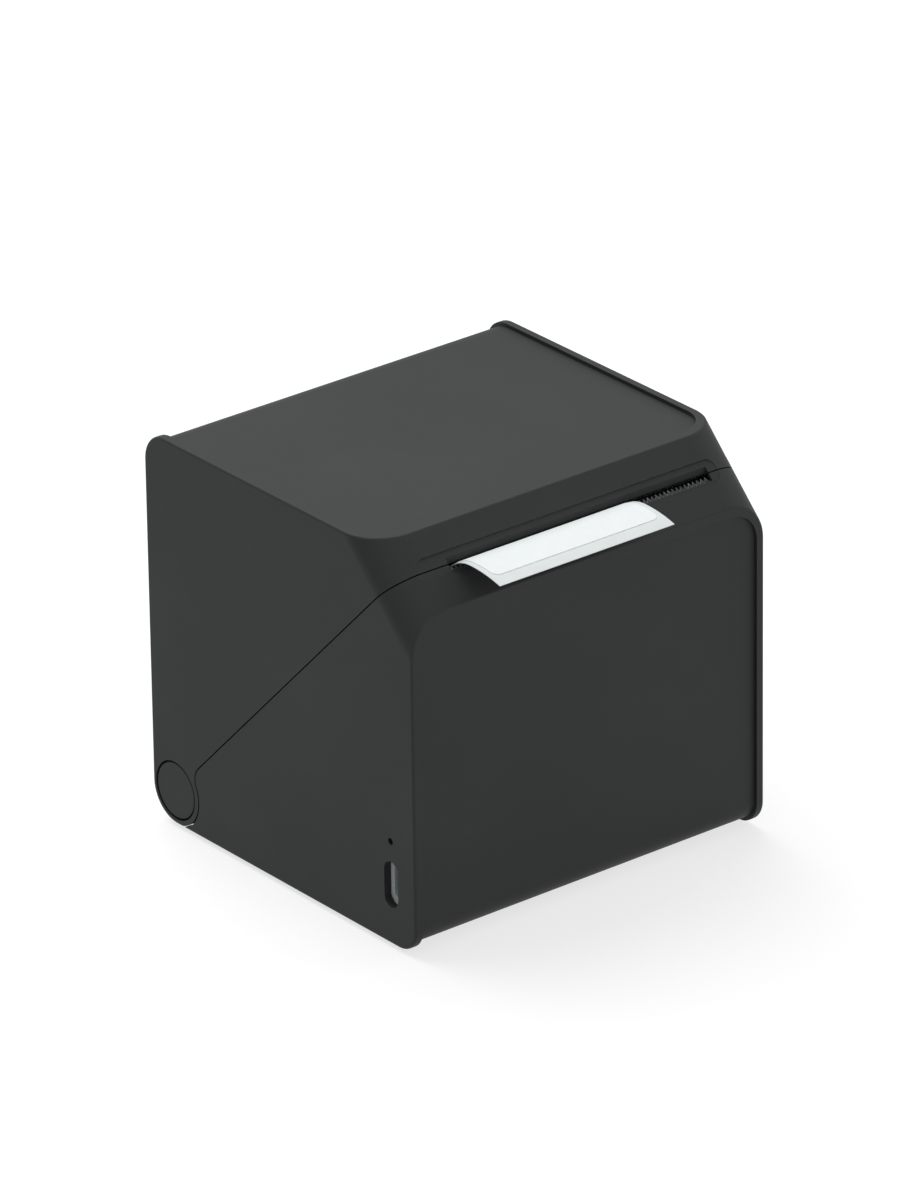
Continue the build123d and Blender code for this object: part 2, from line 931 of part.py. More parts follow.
def make_cover():
    """The cover, with four ribs that the roll bucket's round bottom sits on."""
    cover = block(-cover_half_width, cover_half_width, cover_front, cover_back, cover_low, cover_top)
    cover = fillet(cover.edges().filter_by(Axis.Z), cover_corner)
    saddle_radius = bucket_radius + bucket_wall + seat_gap
    spans = (
        (roll_y - saddle_front_reach, roll_y - saddle_start),
        (roll_y + saddle_start, roll_y + saddle_back_reach),
    )
    for x in (bucket_left + saddle_inset, bucket_right - saddle_inset):
        for y_from, y_to in spans:
            rib = block(
                x - saddle_width / 2, x + saddle_width / 2, y_from, y_to,
                cover_top - weld, roll_z - bucket_radius + saddle_height,
            )
            cover += rib - rod(roll_y, roll_z, saddle_radius, -far, far)
    for x, y in cover_screw_places:
        cover -= screw_hole((x, y, cover_low - cut_over), (0, 0, 1))
    return cover


def make_foot():
    width = 2 * (cover_half_width - foot_side_inset)
    length = cover_back - cover_front - 2 * foot_end_inset
    ring = RectangleRounded(width, length, foot_corner) - RectangleRounded(
        width - 2 * foot_width, length - 2 * foot_width, foot_corner - foot_width / 2
    )
    foot = extrude(Pos(0, (cover_front + cover_back) / 2, 0) * ring, cover_low)
    lowest = foot.faces().sort_by(Axis.Z)[0]
    return chamfer(lowest.outer_wire().edges(), foot_chamfer)


def screw_group(seats, way):
    group = Part()
    for seat in seats:
        group += screw(seat, way)
    return group


save(make_cover(), "bottom_cover")
save(make_foot(), "rubber_foot")
cover_seats = [(x, y, cover_low) for x, y in cover_screw_places]
save(screw_group(cover_seats, (0, 0, 1)), "cover_screws")


# Paper

web_low = liner_thickness / 2 + label_thickness / 2
turn_centre = path_point(web_turn_start, -web_turn_radius)
roll_reach = roll_radius + web_roll_gap + web_low


def web_turn():
    """How far the paper turns behind the print head, and its straight run to the roll."""
    span_y = roll_y - turn_centre[0]
    span_z = roll_z - turn_centre[1]
    span = math.hypot(span_y, span_z)
    inward = span_y * path_y + span_z * path_z
    below = span_y * path_z - span_z * path_y
    centre_angle = math.atan2(below, inward)
    crossing = math.asin((web_turn_radius + roll_reach) / span)
    run = math.sqrt(span ** 2 - (web_turn_radius + roll_reach) ** 2)
    return crossing - centre_angle, run


turn_angle, straight_run = web_turn()


def web_edges(lift):
    """The paper's line from its loose end to the roll, lifted off the path's middle line."""
    out_y = -path_y
    out_z = -path_z
    curl_start = path_point(web_curl_start, -lift)
    curl = JernArc(curl_start, (out_y, out_z), web_curl_radius + lift, web_curl_angle)
    level = curl @ 1
    droop = JernArc(level, curl % 1, web_droop_radius + lift, web_droop_angle)
    flat = Line(path_point(web_turn_start, -lift), curl_start)
    turn_start = path_point(web_turn_start, -lift)
    turn = JernArc(turn_start, (path_y, path_z), web_turn_radius - lift, math.degrees(turn_angle))
    tangent = turn % 1
    rise_end = turn @ 1 + tangent * straight_run
    rise = Line(turn @ 1, rise_end)
    return [rise, turn, flat, curl, droop]


def web_strip(low, high, left, right):
    """A layer of the paper between two heights above the path's middle line."""
    lower = web_edges(low)
    upper = web_edges(high)
    ends = [Line(lower[0] @ 1, upper[0] @ 1), Line(lower[4] @ 1, upper[4] @ 1)]
    return across(make_face(Curve() + lower + upper + ends), left, right)


save(web_strip(-liner_thickness, 0, liner_left, liner_right), "liner_web")


def make_labels():
    """Labels on the liner: one coming out of the slot, and the next one behind it."""
    left = liner_left + label_margin
    right = liner_right - label_margin
    strip = web_strip(0, label_thickness, left, right)
    tip = web_edges(0)[4] @ 1
    nose_y = tip.X + label_lead * math.cos(math.radians(web_droop_angle))
    plan = Pos((left + right) / 2, nose_y + far / 2) * RectangleRounded(
        right - left, far, label_corner
    )
    strip &= extrude(plan, top_z)
    droop_length = math.radians(web_droop_angle) * web_droop_radius
    curl_length = math.radians(web_curl_angle) * web_curl_radius
    gap_from = web_curl_start + label_lead + label_length - droop_length - curl_length
    return strip - path_block(
        gap_from, gap_from + label_spacing, -cut_over, cut_over, left - cut_over, right + cut_over
    )


save(make_labels(), "labels")


# Label roll

save(tube(roll_y, roll_z, roll_radius, core_radius, liner_left, liner_right), "label_roll")
save(tube(roll_y, roll_z, core_radius, core_bore_radius, liner_left, liner_right), "roll_core")


def make_bucket():
    """The trough under the roll, slotted for the sliding guide's neck."""
    bucket = ring_sector(
        roll_y, roll_z, bucket_radius + bucket_wall, bucket_radius,
        bucket_front_angle, bucket_back_angle, bucket_left, bucket_right,
    )
    half_slot = guide_neck_width / 2 + guide_slot_gap
    slot_start = liner_right - guide_shoe_length
    slot_end = sliding_guide_left + guide_thickness + guide_travel + guide_slot_gap
    return bucket - block(slot_start, slot_end, roll_y - half_slot, roll_y + half_slot, 0, roll_z)


def guide_plate(left, right):
    """A media guide's plate: a disc on a leg that stands in the bucket."""
    face = Pos(roll_y, roll_z) * Circle(guide_radius)
    leg_low = roll_z - bucket_radius
    leg = outline(
        (roll_y - guide_leg_width / 2, roll_z),
        (roll_y - guide_leg_width / 2, leg_low),
        (roll_y + guide_leg_width / 2, leg_low),
        (roll_y + guide_leg_width / 2, roll_z),
    )
    leg = leg & (Pos(roll_y, roll_z) * Circle(bucket_radius - seat_gap))
    return across(face + leg, left, right)


def make_fixed_guide():
    hub_radius = core_bore_radius - hub_gap
    right = bucket_left + guide_thickness
    guide = guide_plate(bucket_left, right)
    guide += rod(roll_y, roll_z, hub_radius, right, right + roll_side_gap + hub_length)
    return guide - rod(roll_y, roll_z, hub_radius - hub_wall, bucket_left - cut_over, far)


def make_sliding_guide():
    hub_radius = core_bore_radius - hub_gap
    left = sliding_guide_left
    right = left + guide_thickness
    guide = guide_plate(left, right)
    guide += rod(roll_y, roll_z, hub_radius, left - roll_side_gap - hub_length, left)
    guide -= rod(roll_y, roll_z, hub_radius - hub_wall, -far, far)
    half_neck = guide_neck_width / 2
    shoe_top = roll_z - bucket_radius - bucket_wall - guide_slot_gap
    guide += block(
        left, right, roll_y - half_neck, roll_y + half_neck,
        shoe_top - guide_shoe_thickness, roll_z - bucket_radius + guide_thickness,
    )
    shoe_middle = (left + right) / 2
    guide += block(
        shoe_middle - guide_shoe_length / 2, shoe_middle + guide_shoe_length / 2,
        roll_y - guide_shoe_width / 2, roll_y + guide_shoe_width / 2,
        shoe_top - guide_shoe_thickness, shoe_top,
    )
    return guide


save(make_bucket(), "roll_bucket")
save(make_fixed_guide(), "fixed_guide")
save(make_sliding_guide(), "sliding_guide")


# Mechanism frame, bushes and tear bar

platen_pitch = gear_module * platen_teeth / 2
idler_pitch = gear_module * idler_teeth / 2
pinion_pitch = gear_module * pinion_teeth / 2


def idler_place():
    """The idler's centre, at its two pitch distances from the platen and the motor."""
    first = platen_pitch + idler_pitch
    second = pinion_pitch + idler_pitch
    span_y = motor_y - platen_y
    span_z = motor_z - platen_z
    span = math.hypot(span_y, span_z)
    along = (first ** 2 - second ** 2 + span ** 2) / (2 * span)
    aside = math.sqrt(first ** 2 - along ** 2)
    unit_y = span_y / span
    unit_z = span_z / span
    return platen_y + along * unit_y - aside * unit_z, platen_z + along * unit_z + aside * unit_y


idler_y, idler_z = idler_place()


def make_frame():
    plate = outline(
        path_point(frame_nose, frame_path_gap),
        path_point(frame_tail, frame_path_gap),
        (idler_y + frame_cheek, motor_z),
        (frame_back, frame_top - frame_sheet),
        (frame_front, frame_top - frame_sheet),
        (frame_front, platen_z + frame_shoulder),
    )
    frame = across(plate, frame_left, frame_left + frame_sheet)
    frame += across(plate, frame_right - frame_sheet, frame_right)
    frame += block(
        frame_left, frame_right, frame_front, frame_back, frame_top - frame_sheet, frame_top
    )
    left_plate = (frame_left - cut_over, motor_left + cut_over)
    both_plates = (frame_left - cut_over, frame_right + cut_over)
    frame -= rod(platen_y, platen_z, bush_radius, *both_plates)
    frame -= rod(idler_y, idler_z, stud_radius, *left_plate)
    frame -= rod(motor_y, motor_z, motor_boss_radius + motor_boss_gap, *both_plates)
    for x, y, z in frame_seats:
        frame -= screw_hole((x, y, z + cut_over), (0, 0, -1))
    return frame


def platen_bush(side):
    """A flanged bush, with its flange on the roller's side of the frame plate."""
    plate_x = frame_left + frame_sheet if side < 0 else frame_right - frame_sheet
    left, right = sorted((plate_x, plate_x + side * (frame_sheet + bush_reach)))
    bush = rod(platen_y, platen_z, bush_radius, left, right)
    left, right = sorted((plate_x, plate_x - side * bush_flange_thickness))
    bush += rod(platen_y, platen_z, bush_flange_radius, left, right)
    return bush - rod(platen_y, platen_z, shaft_radius + running_gap, -far, far)


def make_tear_bar():
    """A toothed strip of sheet steel behind the slot's lower lip."""
    left = slot_left - tear_end_reach + tear_side_gap
    right = slot_right + tear_end_reach - tear_side_gap
    root = tear_tip + tear_tooth_height
    teeth = int((slot_right - slot_left) / tear_pitch)
    start = (slot_left + slot_right - teeth * tear_pitch) / 2
    points = [(left, -tear_bottom), (left, -root), (start, -root)]
    for tooth in range(teeth):
        points.append((start + (tooth + 0.5) * tear_pitch, -tear_tip))
        points.append((start + (tooth + 1) * tear_pitch, -root))
    points += [(right, -root), (right, -tear_bottom)]
    outer_face = Plane(
        origin=(0, *path_point(tear_depth, 0)), x_dir=(1, 0, 0), z_dir=(0, -path_y, -path_z)
    )
    return extrude(outer_face * outline(*points), -tear_sheet)


save(make_frame(), "mechanism_frame")
save(platen_bush(-1), "platen_bush_left")
save(platen_bush(1), "platen_bush_right")
save(make_tear_bar(), "tear_bar")
save(screw_group(frame_seats, (0, 0, -1)), "frame_screws")


# Platen roller

gear_left = -(inner_half_width - gear_wall_gap)
platen_shaft = rod(
    platen_y, platen_z, shaft_radius, gear_left - shaft_end_reach, frame_right + shaft_end_reach
)
save(platen_shaft, "platen_shaft")
rubber = tube(platen_y, platen_z, platen_radius, shaft_radius, rubber_left, rubber_right)
save(rubber, "platen_rubber")


# Gears

def gear(y, z, teeth, phase, bore):
    """A spur gear with straight-flanked teeth, the first one's middle at the phase angle."""
    pitch_radius = gear_module * teeth / 2
    tip_radius = pitch_radius + gear_addendum * gear_module
    root_radius = pitch_radius - gear_dedendum * gear_module
    half_pitch_width = gear_module * math.pi / 4 - gear_thinning
    lean = math.tan(math.radians(gear_pressure_angle))
    tip_half = (half_pitch_width - (tip_radius - pitch_radius) * lean) / tip_radius
    root_spread = (pitch_radius - root_radius) * lean * gear_root_share
    root_half = (half_pitch_width + root_spread) / root_radius
    corners = (
        (root_radius, -root_half),
        (tip_radius, -tip_half),
        (tip_radius, tip_half),
        (root_radius, root_half),
    )
    points = []
    for tooth in range(teeth):
        middle = math.radians(phase + 360 * tooth / teeth)
        for radius, offset in corners:
            angle = middle + offset
            points.append((y + radius * math.cos(angle), z + radius * math.sin(angle)))
    face = outline(*points) - Pos(y, z) * Circle(bore)
    return across(face, gear_left, gear_left + gear_width)


to_idler = math.degrees(math.atan2(idler_z - motor_z, idler_y - motor_y))
to_platen = math.degrees(math.atan2(platen_z - idler_z, platen_y - idler_y))
idler_phase = to_idler + 180 + 180 / idler_teeth
lag = (to_platen - idler_phase) % (360 / idler_teeth)
platen_phase = to_platen + 180 + lag * idler_teeth / platen_teeth + 180 / platen_teeth
save(gear(motor_y, motor_z, pinion_teeth, to_idler, motor_shaft_radius), "motor_pinion")
save(gear(idler_y, idler_z, idler_teeth, idler_phase, stud_radius + running_gap), "idler_gear")
save(gear(platen_y, platen_z, platen_teeth, platen_phase, shaft_radius), "platen_gear")

bore_end = motor_left + motor_bore_depth
motor_shaft = rod(
    motor_y, motor_z, motor_shaft_radius, gear_left - motor_shaft_reach, bore_end - motor_shaft_gap
)
save(motor_shaft, "motor_shaft")
can = rod(motor_y, motor_z, motor_radius, motor_left, motor_left + motor_length)
can = fillet(can.faces().sort_by(Axis.X)[-1].edges(), motor_edge_round)
can += rod(motor_y, motor_z, motor_boss_radius, frame_left, motor_left)
can -= rod(motor_y, motor_z, motor_shaft_radius + motor_bore_gap, frame_left - cut_over, bore_end)
save(can, "motor_can")
stud_end = gear_left - stud_gap
stud = rod(idler_y, idler_z, stud_radius, stud_end, motor_left)
stud += rod(idler_y, idler_z, stud_head_radius, stud_end - stud_head_thickness, stud_end)
save(stud, "idler_stud")


# Paper ramp and gap sensor

sensor_left = liner_left + sensor_inset
sensor_end = sensor_start + sensor_length


def make_ramp():
    """The curved plate under the paper, between the platen and the roll."""
    radius = motor_radius + ramp_gap
    right = frame_right - frame_sheet
    ramp = ring_sector(
        motor_y, motor_z, radius + ramp_wall, radius, ramp_low_angle, ramp_high_angle, motor_left, right
    )
    join = math.radians(ramp_join_angle)
    join_y = motor_y + radius * math.cos(join)
    join_z = motor_z + radius * math.sin(join)
    face = outline(
        path_point(ramp_lip_start, ramp_lip_gap),
        path_point(ramp_lip_end, ramp_lip_gap),
        (join_y + ramp_join_reach, join_z - ramp_join_drop),
        (join_y, join_z),
        path_point(ramp_lip_start, ramp_lip_gap + ramp_lip_thickness),
    )
    ramp += across(face, motor_left, right)
    return ramp - path_block(
        sensor_start, sensor_end, -cut_over, sensor_gap + sensor_thickness + cut_over,
        sensor_left - seat_gap, sensor_left + sensor_width + seat_gap,
    )


save(make_ramp(), "paper_ramp")
sensor = path_block(
    sensor_start + seat_gap, sensor_end - seat_gap, sensor_gap, sensor_gap + sensor_thickness,
    sensor_left, sensor_left + sensor_width,
)
save(sensor, "gap_sensor")


# Print head and its bracket in the lid

head_low = label_thickness + head_nip_gap
sink_low = head_low + ceramic_thickness
sink_high = sink_low + heat_sink_thickness
pivot_y, pivot_z = path_point(head_pivot_depth, -head_pivot_height)
bar_place = path_point(bar_depth, -bar_height)
lug_lefts = (ceramic_left + lug_inset, ceramic_right - lug_inset - lug_width)


def make_heat_sink():
    """The head's aluminium back, with fins along its front and two lugs for the pivot pin."""
    sink = path_block(head_front, head_back, -sink_high, -sink_low, ceramic_left, ceramic_right)
    for fin in range(fin_count):
        start = head_front + fin_start + fin_pitch * fin
        sink -= path_block(
            start, start + fin_gap, -sink_high - cut_over, -sink_high + fin_depth, -far, far
        )
    for left in lug_lefts:
        right = left + lug_width
        lug = rod(pivot_y, pivot_z, lug_radius, left, right)
        lug += path_block(
            head_pivot_depth - lug_radius, head_back, -head_pivot_height, -sink_high + weld, left, right
        )
        sink += lug & path_block(0, head_back, -bracket_height, -sink_high + weld, left, right)
    return sink - rod(pivot_y, pivot_z, head_pin_radius + running_gap, -far, far)


def make_bracket():
    """A folded steel channel over the print head, with an ear at each end."""
    high = bracket_height + bracket_sheet
    bracket = path_block(
        head_front, head_back + bracket_back_reach, -high, -bracket_height, bracket_left, bracket_right
    )
    ear_low = head_pivot_height - ear_drop
    for left in (bracket_left, bracket_right - bracket_sheet):
        bracket += path_block(ear_start, ear_end, -high, -ear_low, left, left + bracket_sheet)
    bracket -= rod(pivot_y, pivot_z, head_pin_radius, -far, far)
    bracket -= rod(*bar_place, bar_radius, -far, far)
    for seat in bracket_seats:
        bracket -= screw_hole(Vector(*seat) - bracket_screw_way * cut_over, bracket_screw_way)
    return bracket


save(make_heat_sink(), "heat_sink")
ceramic = path_block(head_front, head_back, -sink_low, -head_low, ceramic_left, ceramic_right)
save(ceramic, "head_ceramic")
save(make_bracket(), "head_bracket")
pin_ends = (bracket_left - head_pin_reach, bracket_right + head_pin_reach)
save(rod(pivot_y, pivot_z, head_pin_radius, *pin_ends), "head_pivot_pin")
save(rod(*bar_place, bar_radius, *pin_ends), "paper_bar")
save(screw_group(bracket_seats, bracket_screw_way), "bracket_screws")


def make_springs():
    """Sleeve-shaped envelopes of the springs that press the head on the platen."""
    springs = Part()
    middle = (ceramic_left + ceramic_right) / 2
    for x in (bracket_screw_xs[0] + spring_screw_gap, middle, bracket_screw_xs[1] - spring_screw_gap):
        seat = Plane(
            origin=(x, *path_point(spring_depth, -bracket_height)), z_dir=(0, path_z, -path_y)
        )
        ring = Circle(spring_radius) - Circle(spring_radius - spring_wire)
        springs += extrude(seat * ring, bracket_height - sink_high - spring_gap)
    return springs


save(make_springs(), "head_springs")


# Ribbon cable along the lid's inside

def make_ribbon():
    left = bracket_left + ribbon_inset
    near = across(side_profile(wall_inset + ribbon_gap), left, left + ribbon_width)
    ribbon = near - across(side_profile(wall_inset + ribbon_gap + ribbon_thickness), -far, far)
    return ribbon & block(-far, far, front_y + ribbon_front, back_y, hinge_z + ribbon_low, top_z)


save(make_ribbon(), "head_ribbon")


# Electronics on the port side

def make_board():
    board = block(board_left, board_right, board_front_y, board_back_y, board_bottom, board_top)
    for x, z in board_screw_places:
        board -= screw_hole((x, board_back_y + cut_over, z), (0, -1, 0))
    return board


save(make_board(), "main_board")
board_seats = [(x, board_back_y, z) for x, z in board_screw_places]
save(screw_group(board_seats, (0, -1, 0)), "board_screws")


def on_board(inset, low, length, width, height):
    """A piece that stands on the board, at an inset from its port end and from a low edge."""
    left = board_left + inset
    return block(left, left + length, board_back_y, board_back_y + height, low, low + width)


def make_chips():
    main_low = board_middle - main_chip_size / 2
    chips = on_board(main_chip_inset, main_low, main_chip_size, main_chip_size, main_chip_thickness)
    for way in (-1, 1):
        low = board_middle + (way * small_chip_spacing - small_chip_width) / 2
        chips += on_board(
            small_chip_inset, low, small_chip_length, small_chip_width, small_chip_thickness
        )
    return chips


def make_sockets():
    """The sockets of the print head, the motor and the sensor."""
    head_socket_low = board_top - head_socket_edge - head_socket_width
    motor_socket_low = board_bottom + motor_socket_edge
    sensor_socket_low = board_bottom + sensor_socket_edge
    sockets = on_board(
        head_socket_inset, head_socket_low, head_socket_length, head_socket_width, head_socket_height
    )
    sockets += on_board(
        motor_socket_inset, motor_socket_low, motor_socket_length, motor_socket_width, motor_socket_height
    )
    sockets += on_board(
        sensor_socket_inset,
        sensor_socket_low,
        sensor_socket_length,
        sensor_socket_width,
        sensor_socket_height,
    )
    return sockets


def make_capacitors():
    cans = Part()
    for inset in (capacitor_inset, capacitor_inset + capacitor_spacing):
        place = (board_left + inset, board_back_y, board_middle + capacitor_rise)
        cans += extrude(Plane(origin=place, z_dir=(0, 1, 0)) * Circle(capacitor_radius), capacitor_height)
    return cans


save(make_chips(), "board_chips")
save(make_sockets(), "board_sockets")


save(make_capacitors(), "board_capacitors")

usb_front_x = -half_width + port_wall
usb_back_x = usb_front_x + usb_depth


def make_usb_shell():
    """The receptacle's steel shell with the plate that fills the port's opening."""
    flange_width = port_width + 2 * port_flange_margin
    flange_length = port_length + 2 * port_flange_margin
    shell = obround(
        port_y, port_z, flange_width, flange_length, usb_front_x, usb_front_x + port_flange_thickness
    )
    shell += obround(port_y, port_z, usb_width, usb_length, usb_front_x, usb_back_x)
    return shell - obround(
        port_y, port_z, usb_width - 2 * usb_sheet, usb_length - 2 * usb_sheet,
        usb_front_x - cut_over, usb_back_x - usb_sheet,
    )


save(make_usb_shell(), "usb_shell")
tongue = block(
    usb_front_x + usb_tongue_setback, usb_back_x - usb_sheet,
    port_y - usb_tongue_thickness / 2, port_y + usb_tongue_thickness / 2,
    port_z - usb_tongue_length / 2, port_z + usb_tongue_length / 2,
)
save(tongue, "usb_tongue")

reset_left = -inner_half_width + reset_body_setback
reset_hole_end = reset_left + reset_plunger_hold + reset_travel + reset_bottom_gap
reset_body = block(
    reset_left, reset_left + reset_body_depth, board_back_y, port_y + reset_body_side,
    reset_z - reset_body_height / 2, reset_z + reset_body_height / 2,
)
reset_body -= rod(
    port_y, reset_z, reset_plunger_radius + reset_plunger_gap, reset_left - cut_over, reset_hole_end
)
save(reset_body, "reset_switch")
reset_plunger = rod(
    port_y, reset_z, reset_plunger_radius,
    reset_left - reset_plunger_reach, reset_left + reset_plunger_hold,
)
save(reset_plunger, "reset_plunger")


# Feed button on the other side

def make_button():
    """A flush obround button with a flange behind the wall and a stem to its switch."""
    flange_right = inner_half_width - button_wall_gap
    cap = obround(port_y, port_z, button_width, button_length, flange_right, half_width)
    cap = fillet(cap.faces().sort_by(Axis.X)[-1].edges(), button_round)
    cap += obround(
        port_y, port_z, button_width + 2 * button_flange, button_length + 2 * button_flange,
        flange_right - button_flange_thickness, flange_right,
    )
    stem_left = switch_right + button_travel + button_switch_gap
    return cap + rod(port_y, port_z, button_stem_radius, stem_left, flange_right - weld)


switch_left = button_board_x + button_board_thickness
switch_right = switch_left + button_switch_height
save(make_button(), "feed_button")
button_switch = block(
    switch_left, switch_right,
    port_y - button_switch_size / 2, port_y + button_switch_size / 2,
    port_z - button_switch_size / 2, port_z + button_switch_size / 2,
)
save(button_switch, "button_switch")
button_board = block(
    button_board_x, switch_left, front_wall_y + button_board_gap, port_y + button_board_reach,
    port_z - button_board_height / 2, port_z + button_board_height / 2,
)
save(button_board, "button_board")


# Spring clips that hold the lid shut

def make_clips():
    """Bent steel leaves beside the lid's tongues, standing on the base's ribs."""
    clips = Part()
    leaf_outer = inner_half_width - tongue_gap - tongue_thickness - clip_gap
    start = clip_rib_start + clip_inset
    end = clip_rib_end - clip_inset
    for side in (-1, 1):
        left, right = sorted((side * (leaf_outer - clip_sheet), side * leaf_outer))
        clips += path_block(start, end, clip_tip, clip_rib_top, left, right)
        left, right = sorted((side * (clip_rib_inner + clip_foot_inset), side * leaf_outer))
        clips += path_block(start, end, clip_rib_top - clip_sheet, clip_rib_top, left, right)
    return clips


save(make_clips(), "catch_clips")
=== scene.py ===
import json
import math

import bmesh
import bpy
from mathutils import Matrix, Vector


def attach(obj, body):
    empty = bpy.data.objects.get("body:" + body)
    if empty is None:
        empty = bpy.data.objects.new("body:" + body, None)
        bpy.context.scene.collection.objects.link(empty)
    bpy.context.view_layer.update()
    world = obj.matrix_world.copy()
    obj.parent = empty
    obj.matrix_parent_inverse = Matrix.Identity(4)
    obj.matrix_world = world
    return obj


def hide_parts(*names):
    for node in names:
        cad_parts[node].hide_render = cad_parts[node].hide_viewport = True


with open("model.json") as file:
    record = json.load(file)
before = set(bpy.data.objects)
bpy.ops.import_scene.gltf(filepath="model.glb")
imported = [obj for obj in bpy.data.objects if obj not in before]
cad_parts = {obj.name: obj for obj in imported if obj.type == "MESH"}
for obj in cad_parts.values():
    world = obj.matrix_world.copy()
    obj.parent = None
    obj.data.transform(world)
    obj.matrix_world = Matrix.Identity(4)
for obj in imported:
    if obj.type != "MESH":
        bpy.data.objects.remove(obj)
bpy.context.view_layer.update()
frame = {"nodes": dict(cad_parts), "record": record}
nodes = frame["nodes"]


# Sizes are in millimetres, as in the part's source, unless a comment says otherwise, and MM turns
# them into metres.

MM = 0.001
ROLL_Y = 7.0014
ROLL_Z = 43.9986
ROLL_RADIUS = 32.9986


# Shader parts that the finishes share

# The width, in millimetres, of the painted highlight along outer edges.
HIGHLIT_EDGE = 0.35


def new_group(name, outputs, grain=None):
    """An empty shader group with named sockets: its tree, what it is given, and what it puts out."""
    tree = bpy.data.node_groups.new(name, "ShaderNodeTree")
    tree.interface.new_socket(name="Vector", in_out="INPUT", socket_type="NodeSocketVector")
    if grain is not None:
        socket = tree.interface.new_socket(
            name="Grain per metre", in_out="INPUT", socket_type="NodeSocketFloat"
        )
        socket.default_value = grain
    for label in outputs:
        tree.interface.new_socket(name=label, in_out="OUTPUT", socket_type="NodeSocketFloat")
    entry = tree.nodes.new("NodeGroupInput")
    end = tree.nodes.new("NodeGroupOutput")
    return tree, entry.outputs, end.inputs


def math_node(tree, operation, first, second=None, third=None):
    node = tree.nodes.new("ShaderNodeMath")
    node.operation = operation
    for socket, value in zip(node.inputs, (first, second, third)):
        if value is None:
            continue
        if isinstance(value, (int, float)):
            socket.default_value = value
        else:
            tree.links.new(value, socket)
    return node.outputs[0]


def noise(tree, vector, per_metre, detail=2.0, roughness=0.5):
    node = tree.nodes.new("ShaderNodeTexNoise")
    tree.links.new(vector, node.inputs["Vector"])
    if isinstance(per_metre, (int, float)):
        node.inputs["Scale"].default_value = per_metre
    else:
        tree.links.new(per_metre, node.inputs["Scale"])
    node.inputs["Detail"].default_value = detail
    node.inputs["Roughness"].default_value = roughness
    return node.outputs["Fac"]


def stretched(tree, vector, per_metre):
    """The same place, scaled by its own amount along each axis."""
    node = tree.nodes.new("ShaderNodeMapping")
    tree.links.new(vector, node.inputs["Vector"])
    node.inputs["Scale"].default_value = per_metre
    return node.outputs["Vector"]


def ramp(tree, value, low, high, out_low=0.0, out_high=1.0):
    """A value that goes from one number to another while its source goes from low to high."""
    node = tree.nodes.new("ShaderNodeMapRange")
    tree.links.new(value, node.inputs["Value"])
    node.inputs["From Min"].default_value = low
    node.inputs["From Max"].default_value = high
    node.inputs["To Min"].default_value = out_low
    node.inputs["To Max"].default_value = out_high
    return node.outputs["Result"]


def make_mould_grain():
    """The fine eroded texture of a moulding tool, with the slow mottle of the plastic."""
    tree, given, out = new_group("Mould grain", ["Height", "Mottle"], grain=3000.0)
    vector, grain = given["Vector"], given["Grain per metre"]
    pits = tree.nodes.new("ShaderNodeTexVoronoi")
    tree.links.new(vector, pits.inputs["Vector"])
    tree.links.new(grain, pits.inputs["Scale"])
    fine = noise(tree, vector, grain, detail=3.0, roughness=0.6)
    height = math_node(tree, "MULTIPLY_ADD", pits.outputs["Distance"], 0.6, fine)
    tree.links.new(height, out["Height"])
    tree.links.new(noise(tree, vector, 45.0, detail=4.0, roughness=0.55), out["Mottle"])
    return tree


def make_handling():
    """Faint smudges, and hairline rubs in two directions, left by use."""
    tree, given, out = new_group("Handling marks", ["Smudges", "Rubs"])
    vector = given["Vector"]
    smudges = noise(tree, vector, 22.0, detail=3.0, roughness=0.6)
    tree.links.new(ramp(tree, smudges, 0.46, 0.72), out["Smudges"])
    first = noise(tree, stretched(tree, vector, (900, 60, 300)), 1.0, detail=1.0)
    second = noise(tree, stretched(tree, vector, (70, 800, 260)), 1.0, detail=1.0)
    lines = math_node(tree, "MAXIMUM", ramp(tree, first, 0.7, 0.74), ramp(tree, second, 0.7, 0.74))
    patchy = ramp(tree, noise(tree, vector, 30.0), 0.5, 0.65)
    tree.links.new(math_node(tree, "MULTIPLY", lines, patchy), out["Rubs"])
    return tree


def make_painted_edge_highlight():
    """Painted highlight: outer edges made lighter, in patches, where their fillets would catch the
    light.
    """
    tree, given, out = new_group("Painted edge highlight", ["Mask"], grain=600.0)
    bevel = tree.nodes.new("ShaderNodeBevel")
    bevel.samples = 4
    bevel.inputs["Radius"].default_value = HIGHLIT_EDGE * MM
    shape = tree.nodes.new("ShaderNodeNewGeometry")
    dot = tree.nodes.new("ShaderNodeVectorMath")
    dot.operation = "DOT_PRODUCT"
    tree.links.new(bevel.outputs["Normal"], dot.inputs[0])
    tree.links.new(shape.outputs["Normal"], dot.inputs[1])
    bend = ramp(tree, dot.outputs["Value"], 0.995, 0.9)
    patches = noise(tree, given["Vector"], given["Grain per metre"], detail=3.0)
    mask = math_node(tree, "MULTIPLY", bend, ramp(tree, patches, 0.35, 0.65))
    tree.links.new(mask, out["Mask"])
    return tree


def make_dust():
    """A thin settled dust, clouded and specked, on faces that look up."""
    tree, given, out = new_group("Settled dust", ["Mask"])
    vector = given["Vector"]
    faces = tree.nodes.new("ShaderNodeTexCoord")
    split = tree.nodes.new("ShaderNodeSeparateXYZ")
    tree.links.new(faces.outputs["Normal"], split.inputs["Vector"])
    up = ramp(tree, split.outputs["Z"], 0.2, 1.0)
    specks = ramp(tree, noise(tree, vector, 1400.0, roughness=0.7), 0.62, 0.8)
    cloud = noise(tree, vector, 40.0, detail=3.0)
    thickness = math_node(tree, "MULTIPLY_ADD", specks, cloud, 0.12)
    tree.links.new(math_node(tree, "MULTIPLY", up, thickness), out["Mask"])
    return tree


